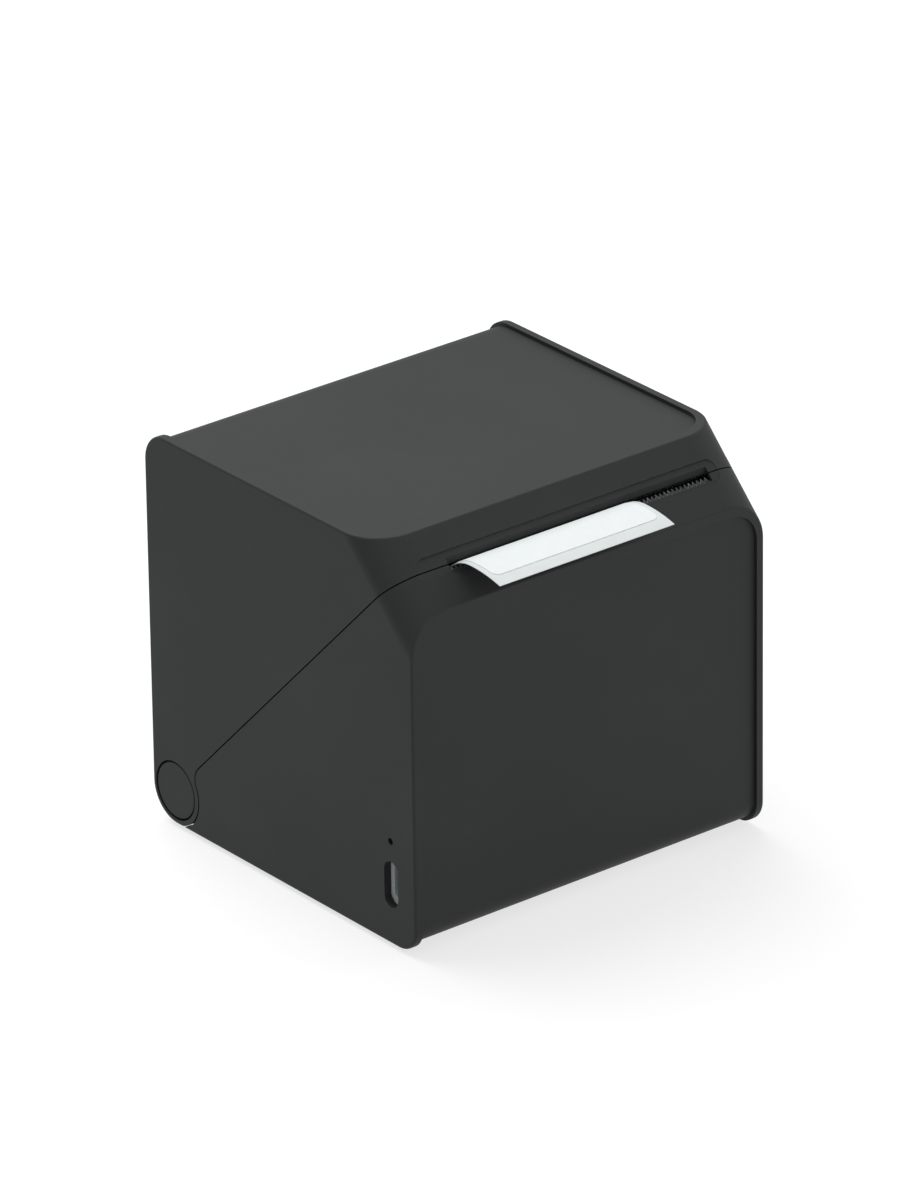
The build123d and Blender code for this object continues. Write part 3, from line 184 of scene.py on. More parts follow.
def make_metal_grain():
    """Fine parallel lines of rolled, ground or turned metal, drawn out by a place stretched first."""
    tree, given, out = new_group("Metal grain", ["Lines"])
    tree.links.new(noise(tree, given["Vector"], 1.0, detail=3.0, roughness=0.6), out["Lines"])
    return tree


def make_paper_fibre():
    """The fibres and cloudy formation of paper."""
    tree, given, out = new_group("Paper fibre", ["Height", "Cloud"])
    vector = given["Vector"]
    along = noise(tree, stretched(tree, vector, (5000, 900, 900)), 1.0, detail=3.0, roughness=0.6)
    cross = noise(tree, stretched(tree, vector, (900, 4000, 4000)), 1.0, detail=3.0, roughness=0.6)
    tree.links.new(math_node(tree, "MAXIMUM", along, cross), out["Height"])
    tree.links.new(noise(tree, vector, 260.0, detail=3.0, roughness=0.6), out["Cloud"])
    return tree


mould_grain = make_mould_grain()
handling_marks = make_handling()
painted_edge_highlight = make_painted_edge_highlight()
settled_dust = make_dust()
metal_grain = make_metal_grain()
paper_fibre = make_paper_fibre()


def new_finish(name):
    """A material with its shader, and the object's own coordinates."""
    material = bpy.data.materials.new(name)
    material.use_nodes = True
    tree = material.node_tree
    shader = tree.nodes["Principled BSDF"]
    place = tree.nodes.new("ShaderNodeTexCoord")
    return material, tree, shader, place.outputs["Object"]


def put_group(tree, group, vector, grain=None):
    """Places a group in a material, and gives back what it puts out."""
    node = tree.nodes.new("ShaderNodeGroup")
    node.node_tree = group
    tree.links.new(vector, node.inputs["Vector"])
    if grain is not None:
        node.inputs["Grain per metre"].default_value = grain
    return node.outputs


def mix_colour(tree, factor, first, second):
    node = tree.nodes.new("ShaderNodeMix")
    node.data_type = "RGBA"
    factor_socket, first_socket, second_socket = 0, 6, 7
    for socket, value in ((factor_socket, factor), (first_socket, first), (second_socket, second)):
        if isinstance(value, tuple):
            node.inputs[socket].default_value = (*value, 1)
        else:
            tree.links.new(value, node.inputs[socket])
    return node.outputs[2]


def finish_surface(tree, shader, colour, roughness, height, depth):
    """Feeds a shader its colour and roughness, and a bump whose depth is in millimetres."""
    tree.links.new(colour, shader.inputs["Base Color"])
    tree.links.new(roughness, shader.inputs["Roughness"])
    node = tree.nodes.new("ShaderNodeBump")
    node.inputs["Distance"].default_value = depth * MM
    tree.links.new(height, node.inputs["Height"])
    tree.links.new(node.outputs["Normal"], shader.inputs["Normal"])


# The finishes

DUST_COLOUR = (0.42, 0.41, 0.39)
GRIND_DEPTH = 0.004
FIBRE_DEPTH = 0.006
CARD_STRIP = 24.0
CABLE_PITCH = 1.25


def moulded_plastic(name, colour, pale, roughness, grain, depth=0.012, edge_light_and_rubs=0.5, gleam=0.5):
    """Matte moulded plastic: eroded grain, slow mottle, smudges, rubs, a painted highlight along its
    edges, and a little dust.
    """
    material, tree, shader, place = new_finish(name)
    shader.inputs["Specular IOR Level"].default_value = gleam
    mould = put_group(tree, mould_grain, place, grain)
    marks = put_group(tree, handling_marks, place)
    edges = put_group(tree, painted_edge_highlight, place)
    dust = put_group(tree, settled_dust, place)
    dark = tuple(0.9 * part for part in colour)
    light = tuple(1.1 * part for part in colour)
    mottled = mix_colour(tree, mould["Mottle"], dark, light)
    # Painted highlight: the outer edges are mixed towards the pale colour.
    patchy = mix_colour(tree, math_node(tree, "MULTIPLY", edges["Mask"], edge_light_and_rubs), mottled, pale)
    rubbed = mix_colour(tree, math_node(tree, "MULTIPLY", marks["Rubs"], 0.12 * edge_light_and_rubs), patchy, pale)
    dusty = mix_colour(tree, math_node(tree, "MULTIPLY", dust["Mask"], 0.05), rubbed, DUST_COLOUR)
    smudged = math_node(tree, "MULTIPLY_ADD", marks["Smudges"], -0.06, roughness)
    uneven = math_node(tree, "MULTIPLY_ADD", mould["Mottle"], 0.08, smudged)
    finish_surface(tree, shader, dusty, uneven, mould["Height"], depth)
    return material


def grained_metal(name, colour, dark, roughness, stretch, metallic=1.0):
    """Bare metal with its lines along one axis, and slow stains."""
    material, tree, shader, place = new_finish(name)
    lines = put_group(tree, metal_grain, stretched(tree, place, stretch))["Lines"]
    stains = noise(tree, place, 120.0, detail=4.0, roughness=0.6)
    stained = mix_colour(tree, ramp(tree, stains, 0.35, 0.75), colour, dark)
    lined = mix_colour(tree, ramp(tree, lines, 0.3, 0.7, 0.0, 0.35), stained, dark)
    uneven = ramp(tree, lines, 0.2, 0.8, roughness - 0.07, roughness + 0.09)
    shader.inputs["Metallic"].default_value = metallic
    finish_surface(tree, shader, lined, uneven, lines, GRIND_DEPTH)
    return material


def toothed_steel():
    """Dark hardened steel, with a painted highlight that makes its tips and edges bright."""
    material, tree, shader, place = new_finish("Toothed steel")
    lines = put_group(tree, metal_grain, stretched(tree, place, (300, 5200, 5200)))["Lines"]
    edges = put_group(tree, painted_edge_highlight, place)
    dark = mix_colour(tree, lines, (0.03, 0.03, 0.03), (0.07, 0.07, 0.07))
    # Painted highlight: the tips and edges are mixed towards a bright grey.
    tips_highlit = mix_colour(tree, edges["Mask"], dark, (0.4, 0.41, 0.41))
    shader.inputs["Metallic"].default_value = 0.7
    finish_surface(tree, shader, tips_highlit, ramp(tree, lines, 0.2, 0.8, 0.38, 0.5), lines, GRIND_DEPTH)
    return material


def paper(name, colour, shade, roughness):
    """Paper with fibres, cloudy formation and a slightly uneven gloss."""
    material, tree, shader, place = new_finish(name)
    fibre = put_group(tree, paper_fibre, place)
    clouded = mix_colour(tree, ramp(tree, fibre["Cloud"], 0.3, 0.7), colour, shade)
    uneven = ramp(tree, fibre["Height"], 0.4, 0.8, roughness - 0.05, roughness + 0.05)
    finish_surface(tree, shader, clouded, uneven, fibre["Height"], FIBRE_DEPTH)
    return material


def rubber_finish(name, colour, roughness, grain, depth):
    """Soft black rubber with a powdery bloom and a ground surface."""
    material, tree, shader, place = new_finish(name)
    mould = put_group(tree, mould_grain, place, grain)
    bloom = noise(tree, place, 160.0, detail=4.0, roughness=0.65)
    pale = tuple(0.05 + 1.5 * part for part in colour)
    bloomed = mix_colour(tree, ramp(tree, bloom, 0.45, 0.8, 0.0, 0.4), colour, pale)
    uneven = ramp(tree, bloom, 0.3, 0.8, roughness - 0.05, roughness + 0.1)
    finish_surface(tree, shader, bloomed, uneven, mould["Height"], depth)
    return material


def centred_on_roll(tree, place):
    """Places measured from the roll's centre line, as X, Y and Z, and the angle round it."""
    shift = tree.nodes.new("ShaderNodeMapping")
    tree.links.new(place, shift.inputs["Vector"])
    shift.inputs["Location"].default_value = (0, -ROLL_Y * MM, -ROLL_Z * MM)
    split = tree.nodes.new("ShaderNodeSeparateXYZ")
    tree.links.new(shift.outputs["Vector"], split.inputs["Vector"])
    angle = math_node(tree, "ARCTAN2", split.outputs["Z"], split.outputs["Y"])
    return split.outputs, angle


def wound_paper_edges():
    """The side of a wound roll: paper-thin rings, darker where the glue layers lie."""
    material, tree, shader, place = new_finish("Wound paper edges")
    centred, angle = centred_on_roll(tree, place)
    across = math_node(tree, "MULTIPLY", centred["Y"], centred["Y"])
    squared = math_node(tree, "MULTIPLY_ADD", centred["Z"], centred["Z"], across)
    distance = math_node(tree, "SQRT", squared)
    ring = tree.nodes.new("ShaderNodeCombineXYZ")
    tree.links.new(math_node(tree, "MULTIPLY_ADD", angle, 0.05 * MM, distance), ring.inputs["X"])
    fine = noise(tree, ring.outputs["Vector"], 5200.0, detail=3.0, roughness=0.7)
    broad = noise(tree, ring.outputs["Vector"], 700.0, roughness=0.6)
    fuzz = noise(tree, place, 900.0, detail=3.0, roughness=0.6)
    pale = mix_colour(tree, ramp(tree, broad, 0.3, 0.7), (0.74, 0.745, 0.73), (0.62, 0.625, 0.61))
    lined = mix_colour(tree, ramp(tree, fine, 0.4, 0.65), pale, (0.45, 0.45, 0.42))
    fuzzy = mix_colour(tree, ramp(tree, fuzz, 0.55, 0.8, 0.0, 0.3), lined, (0.8, 0.8, 0.79))
    finish_surface(tree, shader, fuzzy, ramp(tree, fuzz, 0.2, 0.8, 0.72, 0.85), fine, 0.03)
    return material


def wound_card():
    """A card tube with the seams of its wound strip, and rough fibres."""
    material, tree, shader, place = new_finish("Wound card")
    centred, angle = centred_on_roll(tree, place)
    along = math_node(tree, "MULTIPLY", centred["X"], 1 / (CARD_STRIP * MM))
    turns = math_node(tree, "MULTIPLY_ADD", angle, 1 / math.tau, along)
    seam = ramp(tree, math_node(tree, "FRACT", turns), 0.0, 0.02)
    fibre = put_group(tree, paper_fibre, place)
    cloud = ramp(tree, fibre["Cloud"], 0.3, 0.7)
    brown = mix_colour(tree, cloud, (0.42, 0.31, 0.19), (0.33, 0.235, 0.14))
    seamed = mix_colour(tree, seam, (0.16, 0.11, 0.06), brown)
    uneven = ramp(tree, fibre["Height"], 0.3, 0.8, 0.75, 0.9)
    height = math_node(tree, "MULTIPLY_ADD", seam, 2.0, fibre["Height"])
    finish_surface(tree, shader, seamed, uneven, height, 0.02)
    return material


def flat_cable():
    """A flat cable: bright conductors, a pitch apart, seen through a milky film."""
    material, tree, shader, place = new_finish("Flat cable")
    split = tree.nodes.new("ShaderNodeSeparateXYZ")
    tree.links.new(place, split.inputs["Vector"])
    across = math_node(tree, "MULTIPLY", split.outputs["X"], 1 / (CABLE_PITCH * MM))
    ridge = math_node(tree, "PINGPONG", math_node(tree, "FRACT", across), 0.5)
    conductor = ramp(tree, ridge, 0.16, 0.24)
    haze = noise(tree, place, 180.0, detail=3.0, roughness=0.6)
    metal = mix_colour(tree, haze, (0.5, 0.5, 0.49), (0.58, 0.57, 0.55))
    striped = mix_colour(tree, conductor, (0.72, 0.75, 0.79), metal)
    uneven = ramp(tree, haze, 0.3, 0.7, 0.28, 0.42)
    finish_surface(tree, shader, striped, uneven, conductor, 0.03)
    return material


# A moulded plastic's second colour is the pale one of its rubs and of its painted edge highlight.
finishes = {
    "body_plastic": moulded_plastic(
        "Charcoal body", (0.0232, 0.0256, 0.0248), (0.085, 0.087, 0.086),
        roughness=0.52, grain=3200.0, depth=0.010, edge_light_and_rubs=0.22, gleam=0.25,
    ),
    "inner_plastic": moulded_plastic(
        "Inner black", (0.014, 0.015, 0.015), (0.07, 0.07, 0.07),
        roughness=0.45, grain=2400.0, gleam=0.35,
    ),
    "grey_plastic": moulded_plastic(
        "Grey mouldings", (0.16, 0.165, 0.17), (0.3, 0.3, 0.3), roughness=0.45, grain=2000.0
    ),
    "gear_plastic": moulded_plastic(
        "Acetal gears", (0.75, 0.74, 0.69), (0.85, 0.84, 0.8), roughness=0.35, grain=1500.0, depth=0.005
    ),
    "socket_white": moulded_plastic(
        "Socket nylon", (0.72, 0.7, 0.62), (0.85, 0.84, 0.8), roughness=0.4, grain=2500.0, depth=0.005
    ),
    "chip_black": moulded_plastic(
        "Chip epoxy", (0.015, 0.015, 0.016), (0.09, 0.09, 0.09), roughness=0.55, grain=6000.0, depth=0.01
    ),
    "ribbon": flat_cable(),
    "board_green": moulded_plastic(
        "Solder mask", (0.012, 0.085, 0.04), (0.2, 0.25, 0.15), roughness=0.3, grain=900.0, depth=0.01
    ),
    # Painted shade: the head's ceramic is coloured near black, so that the slot behind the teeth reads
    # dark.
    "ceramic": moulded_plastic(
        "Ceramic, painted shade", (0.012, 0.012, 0.012), (0.08, 0.08, 0.08),
        roughness=0.22, grain=900.0, depth=0.002,
    ),
    "rubber": rubber_finish(
        "Foot rubber", (0.015, 0.015, 0.015), roughness=0.75, grain=2200.0, depth=0.02
    ),
    "platen_rubber": rubber_finish(
        "Platen rubber", (0.022, 0.022, 0.024), roughness=0.6, grain=5200.0, depth=0.01
    ),
    "steel": grained_metal(
        "Rolled steel", (0.56, 0.57, 0.58), (0.34, 0.34, 0.34), roughness=0.34, stretch=(250, 5200, 5200)
    ),
    "tear_steel": toothed_steel(),
    "screw_steel": grained_metal(
        "Zinc steel", (0.42, 0.42, 0.44), (0.2, 0.2, 0.2), roughness=0.32, stretch=(1400, 1400, 1400)
    ),
    # Painted reflection: the nickel shell is near white and barely metallic, so that it stays bright in
    # the port's shade as a reflection of the pale room would make it.
    "port_steel": grained_metal(
        "Nickel steel, painted bright", (0.88, 0.95, 0.97), (0.78, 0.85, 0.87),
        roughness=0.34, stretch=(3000, 400, 3000), metallic=0.15,
    ),
    "aluminium": grained_metal(
        "Extruded aluminium", (0.7, 0.71, 0.72), (0.4, 0.41, 0.42),
        roughness=0.36, stretch=(120, 5200, 5200),
    ),
    "brass": grained_metal(
        "Turned brass", (0.62, 0.45, 0.2), (0.35, 0.24, 0.1), roughness=0.3, stretch=(4200, 300, 300)
    ),
    "liner": paper("Glassine liner", (0.755, 0.785, 0.79), (0.725, 0.755, 0.76), roughness=0.42),
    "label": paper("Coated label", (0.885, 0.91, 0.92), (0.86, 0.885, 0.9), roughness=0.5),
    "card": wound_card(),
}
wound_edges = wound_paper_edges()

slot_of = {entry["node"]: entry["material_slot"] for entry in frame["record"]["subparts"]}


def dress(name, finish):
    """Gives a CAD piece its finish."""
    data = nodes[name].data
    data.materials.clear()
    data.materials.append(finish)


for name in nodes:
    dress(name, finishes[slot_of[name]])


# Mesh work that the pieces share

WELD = 0.0005


def put_in_scene(mesh, name):
    """Makes a scene object of a worked mesh, with no finish yet."""
    data = bpy.data.meshes.new(name)
    mesh.to_mesh(data)
    mesh.free()
    piece = bpy.data.objects.new(name, data)
    bpy.context.scene.collection.objects.link(piece)
    return piece


def finish_mesh(mesh, name, body, slot, replaced, more_finishes=()):
    """Turns a worked mesh, in millimetres, into a piece that stands for a CAD node."""
    bmesh.ops.scale(mesh, vec=(MM, MM, MM), verts=mesh.verts)
    piece = put_in_scene(mesh, name)
    for finish in (finishes[slot], *more_finishes):
        piece.data.materials.append(finish)
    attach(piece, body)
    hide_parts(replaced)


def smooth_faces(mesh, limit=40):
    """Rounded faces look smooth, and edges sharper than the limit, in degrees, stay sharp."""
    for face in mesh.faces:
        face.smooth = True
    for edge in mesh.edges:
        edge.smooth = len(edge.link_faces) == 2 and edge.calc_face_angle(0.0) < math.radians(limit)


def join_copy(mesh, source, matrix=Matrix.Identity(4)):
    """Puts a turned and moved copy of one shape into another."""
    copy = bpy.data.meshes.new("copy")
    source.to_mesh(copy)
    copy.transform(matrix)
    mesh.from_mesh(copy)
    bpy.data.meshes.remove(copy)


def spin_profile(mesh, points, centre, axis, steps):
    """A ring from a closed outline, or a body of revolution from an open one."""
    verts = [mesh.verts.new(point) for point in points]
    edges = [mesh.edges.new(pair) for pair in zip(verts, verts[1:])]
    bmesh.ops.spin(
        mesh, geom=verts + edges, cent=centre, axis=axis, angle=math.tau, steps=steps,
        use_merge=True, use_duplicate=False,
    )
    bmesh.ops.remove_doubles(mesh, verts=mesh.verts, dist=WELD)
    bmesh.ops.recalc_face_normals(mesh, faces=mesh.faces)


# Paper: one strip, from its tip outside the slot over the platen and back to the top of the roll

SLANT = math.radians(45)
SLOPE = math.sqrt(0.5)
SLOT_Y, SLOT_Z = -43.85, 95.85

CURL_RADIUS, DROOP_RADIUS, TURN_RADIUS = 12.0, 40.0, 8.0
CURL_CENTRE = (-50.0734, 85.1016)
CURL_INWARD = 3.2
CURL_LENGTH = CURL_RADIUS * SLANT
DROOP_LENGTH = DROOP_RADIUS * math.radians(15.5)
FLAT_LENGTH = 15.3
TURN_ANGLE = math.radians(39.98366)
TURN_LENGTH = TURN_RADIUS * TURN_ANGLE
RUN_LENGTH = 35.8747
WEB_END = CURL_LENGTH + DROOP_LENGTH
WEB_START = -(FLAT_LENGTH + TURN_LENGTH + RUN_LENGTH)

LINER_SIDES = (-35.2, 17.8)
LABEL_SIDES = (-33.7, 16.3)
LABEL_LENGTH, LABEL_GAP, LABEL_LEAD, LABEL_CORNER = 30.0, 3.0, 3.6, 2.0
PAPER_THICK = 0.15
LAYER_GAP = 0.005
ROLL_LABEL_START = -4.0

# The roll's rings lie a little inside the liner's edges, and swing round that by up to RING_SWING.
RING_COUNT, RING_INSET, RING_SWING = 46, 0.05, 0.045
ROLL_BORE, CORE_BORE = 15.5, 12.7
CORE_GAP = 0.01
CORE_RIM = 0.4


def on_path(inward, below):
    """A place beside the paper's path: inward from the slot, and below the paper."""
    return SLOT_Y + SLOPE * (inward - below), SLOT_Z - SLOPE * (inward + below)


def round_centre(centre, radius, angle):
    return centre[0] + radius * math.cos(angle), centre[1] + radius * math.sin(angle)


def paper_place(way, lift):
    """Where the paper is: its way is 0 where it starts to curl, and more towards its tip."""
    if way > CURL_LENGTH:
        centre = (CURL_CENTRE[0], CURL_CENTRE[1] + CURL_RADIUS - DROOP_RADIUS)
        angle = math.radians(90) + (way - CURL_LENGTH) / DROOP_RADIUS
        return round_centre(centre, DROOP_RADIUS + lift, angle)
    if way > 0:
        return round_centre(CURL_CENTRE, CURL_RADIUS + lift, SLANT + way / CURL_RADIUS)
    beyond = -FLAT_LENGTH - way
    if beyond < 0:
        return on_path(CURL_INWARD - way, -lift)
    turn_centre = on_path(CURL_INWARD + FLAT_LENGTH, -TURN_RADIUS)
    bend = min(beyond, TURN_LENGTH) / TURN_RADIUS
    y, z = round_centre(turn_centre, TURN_RADIUS - lift, math.pi + SLANT + bend)
    run = max(beyond - TURN_LENGTH, 0)
    heading = TURN_ANGLE - SLANT
    return y + run * math.cos(heading), z + run * math.sin(heading)


def roll_place(way, lift):
    """Where the roll's outermost paper is, at a way round it and a lift over its underside."""
    return round_centre((ROLL_Y, ROLL_Z), ROLL_RADIUS - PAPER_THICK + lift, way / ROLL_RADIUS)


def add_sheet(mesh, ways, sides, corners, low, high, place, step=0.8):
    """A sheet with rounded corners, cut out flat, thickened and bent along its way.

    Its faces are turned the right way while it is flat, where that is sure. The bend mirrors the
    sheet, so they are reversed after it.
    """
    sheet = bmesh.new()
    bmesh.ops.create_grid(sheet, x_segments=1, y_segments=1, size=0.5)
    bmesh.ops.scale(sheet, vec=(sides[1] - sides[0], ways[1] - ways[0], 1), verts=sheet.verts)
    bmesh.ops.translate(
        sheet, vec=((sides[0] + sides[1]) / 2, (ways[0] + ways[1]) / 2, low), verts=sheet.verts
    )
    if corners:
        bmesh.ops.bevel(
            sheet, geom=sheet.verts[:], offset=corners, offset_type="OFFSET", segments=5,
            profile=0.5, affect="VERTICES", material=-1,
        )
    count = max(1, round((ways[1] - ways[0]) / step))
    for cut in range(1, count):
        bmesh.ops.bisect_plane(
            sheet, geom=sheet.verts[:] + sheet.edges[:] + sheet.faces[:], dist=0.001,
            plane_co=(0, ways[0] + (ways[1] - ways[0]) * cut / count, 0), plane_no=(0, 1, 0),
        )
    raised = bmesh.ops.extrude_face_region(sheet, geom=sheet.faces[:], use_keep_orig=True)
    tops = [item for item in raised["geom"] if isinstance(item, bmesh.types.BMVert)]
    bmesh.ops.translate(sheet, vec=(0, 0, high - low), verts=tops)
    bmesh.ops.recalc_face_normals(sheet, faces=sheet.faces)
    smooth_faces(sheet)
    for vert in sheet.verts:
        y, z = place(vert.co.y, vert.co.z)
        vert.co = (vert.co.x, y, z)
    bmesh.ops.reverse_faces(sheet, faces=sheet.faces)
    join_copy(mesh, sheet)
    sheet.free()


def make_liner_strip():
    """The liner under the labels, from the roll to the tip."""
    mesh = bmesh.new()
    add_sheet(mesh, (WEB_START, WEB_END), LINER_SIDES, 0, -PAPER_THICK, -LAYER_GAP, paper_place)
    finish_mesh(mesh, "liner_strip", "base", "liner", "liner_web")


def make_label_strip():
    """The label coming out of the slot, and the next ones behind it."""
    mesh = bmesh.new()
    end = WEB_END - LABEL_LEAD
    while end > WEB_START:
        start = max(end - LABEL_LENGTH, WEB_START)
        add_sheet(mesh, (start, end), LABEL_SIDES, LABEL_CORNER, 0.0, PAPER_THICK, paper_place)
        end = start - LABEL_GAP
    finish_mesh(mesh, "die_cut_labels", "base", "label", "labels")


def roll_outline(side):
    """A closed outline across the roll, from the insets and radii of the points on one side."""
    left, right = LINER_SIDES
    points = [(left + inset, ROLL_Y, ROLL_Z + radius) for inset, radius in side]
    points += [(right - inset, ROLL_Y, ROLL_Z + radius) for inset, radius in reversed(side)]
    return points + points[:1]


def make_wound_roll():
    """The roll: uneven paper edges on its sides, and labels a gap apart round the outside."""
    outer = ROLL_RADIUS - PAPER_THICK
    side = []
    for ring in range(RING_COUNT + 1):
        inset = RING_INSET + RING_SWING * math.sin(ring * 2.4) * math.sin(ring * 0.9 + 1)
        side.append((inset, ROLL_BORE + (outer - ROLL_BORE) * ring / RING_COUNT))
    mesh = bmesh.new()
    spin_profile(mesh, roll_outline(side), (0, ROLL_Y, ROLL_Z), (1, 0, 0), 128)
    smooth_faces(mesh)
    outside, wound_side = 0, 1
    for face in mesh.faces:
        face.material_index = wound_side if abs(face.normal.x) > 0.5 else outside
    pitch = LABEL_LENGTH + LABEL_GAP
    for label in range(int(math.tau * outer / pitch)):
        start = label * pitch + ROLL_LABEL_START
        add_sheet(
            mesh, (start, start + LABEL_LENGTH), LABEL_SIDES, LABEL_CORNER,
            LAYER_GAP, PAPER_THICK - LAYER_GAP, roll_place, step=1.5,
        )
    finish_mesh(mesh, "wound_roll", "roll", "label", "label_roll", [wound_edges])


def make_wound_core():
    """The card tube in the roll, with softened rims."""
    outer = ROLL_BORE - CORE_GAP
    corner = CORE_RIM * 0.3
    side = [
        (CORE_RIM, CORE_BORE), (corner, CORE_BORE + corner), (0, CORE_BORE + CORE_RIM),
        (0, outer - CORE_RIM), (corner, outer - corner), (CORE_RIM, outer),
    ]
    mesh = bmesh.new()
    spin_profile(mesh, roll_outline(side), (0, ROLL_Y, ROLL_Z), (1, 0, 0), 96)
    smooth_faces(mesh)
    finish_mesh(mesh, "card_core", "roll", "card", "roll_core")


make_liner_strip()
make_label_strip()
make_wound_roll()
make_wound_core()


# Springs and screws

ONTO_PAPER = (0, -SLOPE, -SLOPE)
BRACKET_INWARD, BRACKET_ABOVE = 11.0, 9.0

SPRING_RADIUS, SPRING_WIRE, SPRING_HEIGHT, SPRING_TURNS = 2.5, 0.6, 4.13, 4.5
SPRING_X = (-22.25, 2.75, 27.75)

SHANK_RADIUS, SHANK_LENGTH = 1.1, 5.0
HEAD_RADIUS, HEAD_HEIGHT = 2.2, 1.4
RECESS_REACH, RECESS_HALF_WIDTH, RECESS_DEPTH, RECESS_TAPER = 0.95, 0.22, 0.7, 0.75

COVER_SCREW_X, COVER_SCREW_Y, COVER_SEAT_Z = (-44.4, 44.4), (-40.4, 28.4), 2.0
FRAME_SCREW_X, FRAME_SCREW_Y, FRAME_SEAT_Z = (-14.0, 12.0, 38.0), -40.0, 54.0
BOARD_SCREW_X, BOARD_SEAT_Y, BOARD_SCREW_Z = (-36.0, 26.5), -43.5, (11.5, 38.5)
BRACKET_SCREW_X, BRACKET_SCREW_APART = (-30.4, 35.9), 5.0


def turn_to(direction):
    """The turn that points a piece's own +Z along a direction."""
    return Vector(direction).to_track_quat("Z", "Y").to_matrix().to_4x4()


def coil_spring():
    """A helix of round wire that stands on z = 0, closed at both ends."""
    steps_a_turn = 20
    steps = round(SPRING_TURNS * steps_a_turn)
    coil = bmesh.new()
    bmesh.ops.create_circle(coil, cap_ends=True, segments=10, radius=SPRING_WIRE / 2)
    upright = Matrix.Rotation(math.radians(90), 3, "X")
    bmesh.ops.rotate(coil, verts=coil.verts, cent=(0, 0, 0), matrix=upright)
    bmesh.ops.translate(
        coil, verts=coil.verts, vec=(SPRING_RADIUS - SPRING_WIRE / 2, 0, SPRING_WIRE / 2)
    )
    bmesh.ops.spin(
        coil, geom=coil.verts[:] + coil.edges[:] + coil.faces[:], cent=(0, 0, 0), axis=(0, 0, 1),
        dvec=(0, 0, (SPRING_HEIGHT - SPRING_WIRE) / steps), angle=math.tau * SPRING_TURNS,
        steps=steps, use_duplicate=False,
    )
    bmesh.ops.recalc_face_normals(coil, faces=coil.faces)
    smooth_faces(coil, 60)
    return coil


def make_coil_springs():
    """The three springs that press the print head down."""
    coil = coil_spring()
    mesh = bmesh.new()
    y, z = on_path(BRACKET_INWARD, -BRACKET_ABOVE)
    for x in SPRING_X:
        join_copy(mesh, coil, Matrix.Translation((x, y, z)) @ turn_to(ONTO_PAPER))
    coil.free()
    finish_mesh(mesh, "coil_springs", "lid", "steel", "head_springs")


def top_faces(screw):
    """The flat faces on a screw's head."""
    return [face for face in screw.faces if face.calc_center_median().z > HEAD_HEIGHT - 0.01]


def cut_recess(screw):
    """Sinks a cross recess, narrower at its floor, into a screw's head."""
    for distance in (RECESS_HALF_WIDTH, RECESS_REACH):
        for way in (Vector((1, 0, 0)), Vector((0, 1, 0))):
            for side in (1, -1):
                flat = top_faces(screw)
                around = list({edge for face in flat for edge in face.edges})
                corners = list({vert for face in flat for vert in face.verts})
                bmesh.ops.bisect_plane(
                    screw, geom=corners + around + flat, dist=WELD,
                    plane_co=way * distance * side, plane_no=way,
                )
    cross = []
    for face in top_faces(screw):
        across, along = sorted(abs(part) for part in face.calc_center_median().xy)
        if across < RECESS_HALF_WIDTH and along < RECESS_REACH:
            cross.append(face)
    dug = bmesh.ops.extrude_face_region(screw, geom=cross)
    bmesh.ops.delete(screw, geom=cross, context="FACES")
    floor = [item for item in dug["geom"] if isinstance(item, bmesh.types.BMVert)]
    bmesh.ops.translate(screw, vec=(0, 0, -RECESS_DEPTH), verts=floor)
    bmesh.ops.scale(screw, vec=(RECESS_TAPER, RECESS_TAPER, 1), verts=floor)


def pan_screw():
    """A pan-head screw with a cross recess, seated on z = 0 with its shank below."""
    screw = bmesh.new()
    outline = [
        (0, -SHANK_LENGTH), (0.75, -SHANK_LENGTH), (SHANK_RADIUS, -4.55), (SHANK_RADIUS, 0.0),
        (2.1, 0.0), (HEAD_RADIUS, 0.1), (HEAD_RADIUS, 0.55), (2.05, 0.95), (1.75, 1.25),
        (1.35, HEAD_HEIGHT),
    ]
    points = [(radius, 0, height) for radius, height in outline]
    spin_profile(screw, points, (0, 0, 0), (0, 0, 1), 32)
    rim = [edge for edge in screw.edges if edge.is_boundary]
    bmesh.ops.holes_fill(screw, edges=rim)
    bmesh.ops.recalc_face_normals(screw, faces=screw.faces)
    cut_recess(screw)
    bmesh.ops.recalc_face_normals(screw, faces=screw.faces)
    smooth_faces(screw, 35)
    return screw


def make_screws():
    """Every screw is the same one: where each group sits, and the way its heads face."""
    screw = pan_screw()
    bracket_rows = [
        on_path(BRACKET_INWARD + side * BRACKET_SCREW_APART / 2, -BRACKET_ABOVE) for side in (-1, 1)
    ]
    groups = {
        "cover_screws": (
            "base", (0, 0, -1), [(x, y, COVER_SEAT_Z) for x in COVER_SCREW_X for y in COVER_SCREW_Y]
        ),
        "frame_screws": ("base", (0, 0, 1), [(x, FRAME_SCREW_Y, FRAME_SEAT_Z) for x in FRAME_SCREW_X]),
        "board_screws": (
            "base", (0, 1, 0), [(x, BOARD_SEAT_Y, z) for x in BOARD_SCREW_X for z in BOARD_SCREW_Z]
        ),
        "bracket_screws": (
            "lid", ONTO_PAPER, [(x, y, z) for x in BRACKET_SCREW_X for y, z in bracket_rows]
        ),
    }
    for node, (body, head_way, seats) in groups.items():
        mesh = bmesh.new()
        for seat in seats:
            join_copy(mesh, screw, Matrix.Translation(seat) @ turn_to(head_way))
        finish_mesh(mesh, "pan_" + node, body, "screw_steel", node)
    screw.free()


make_coil_springs()
make_screws()


# Floor, light and camera

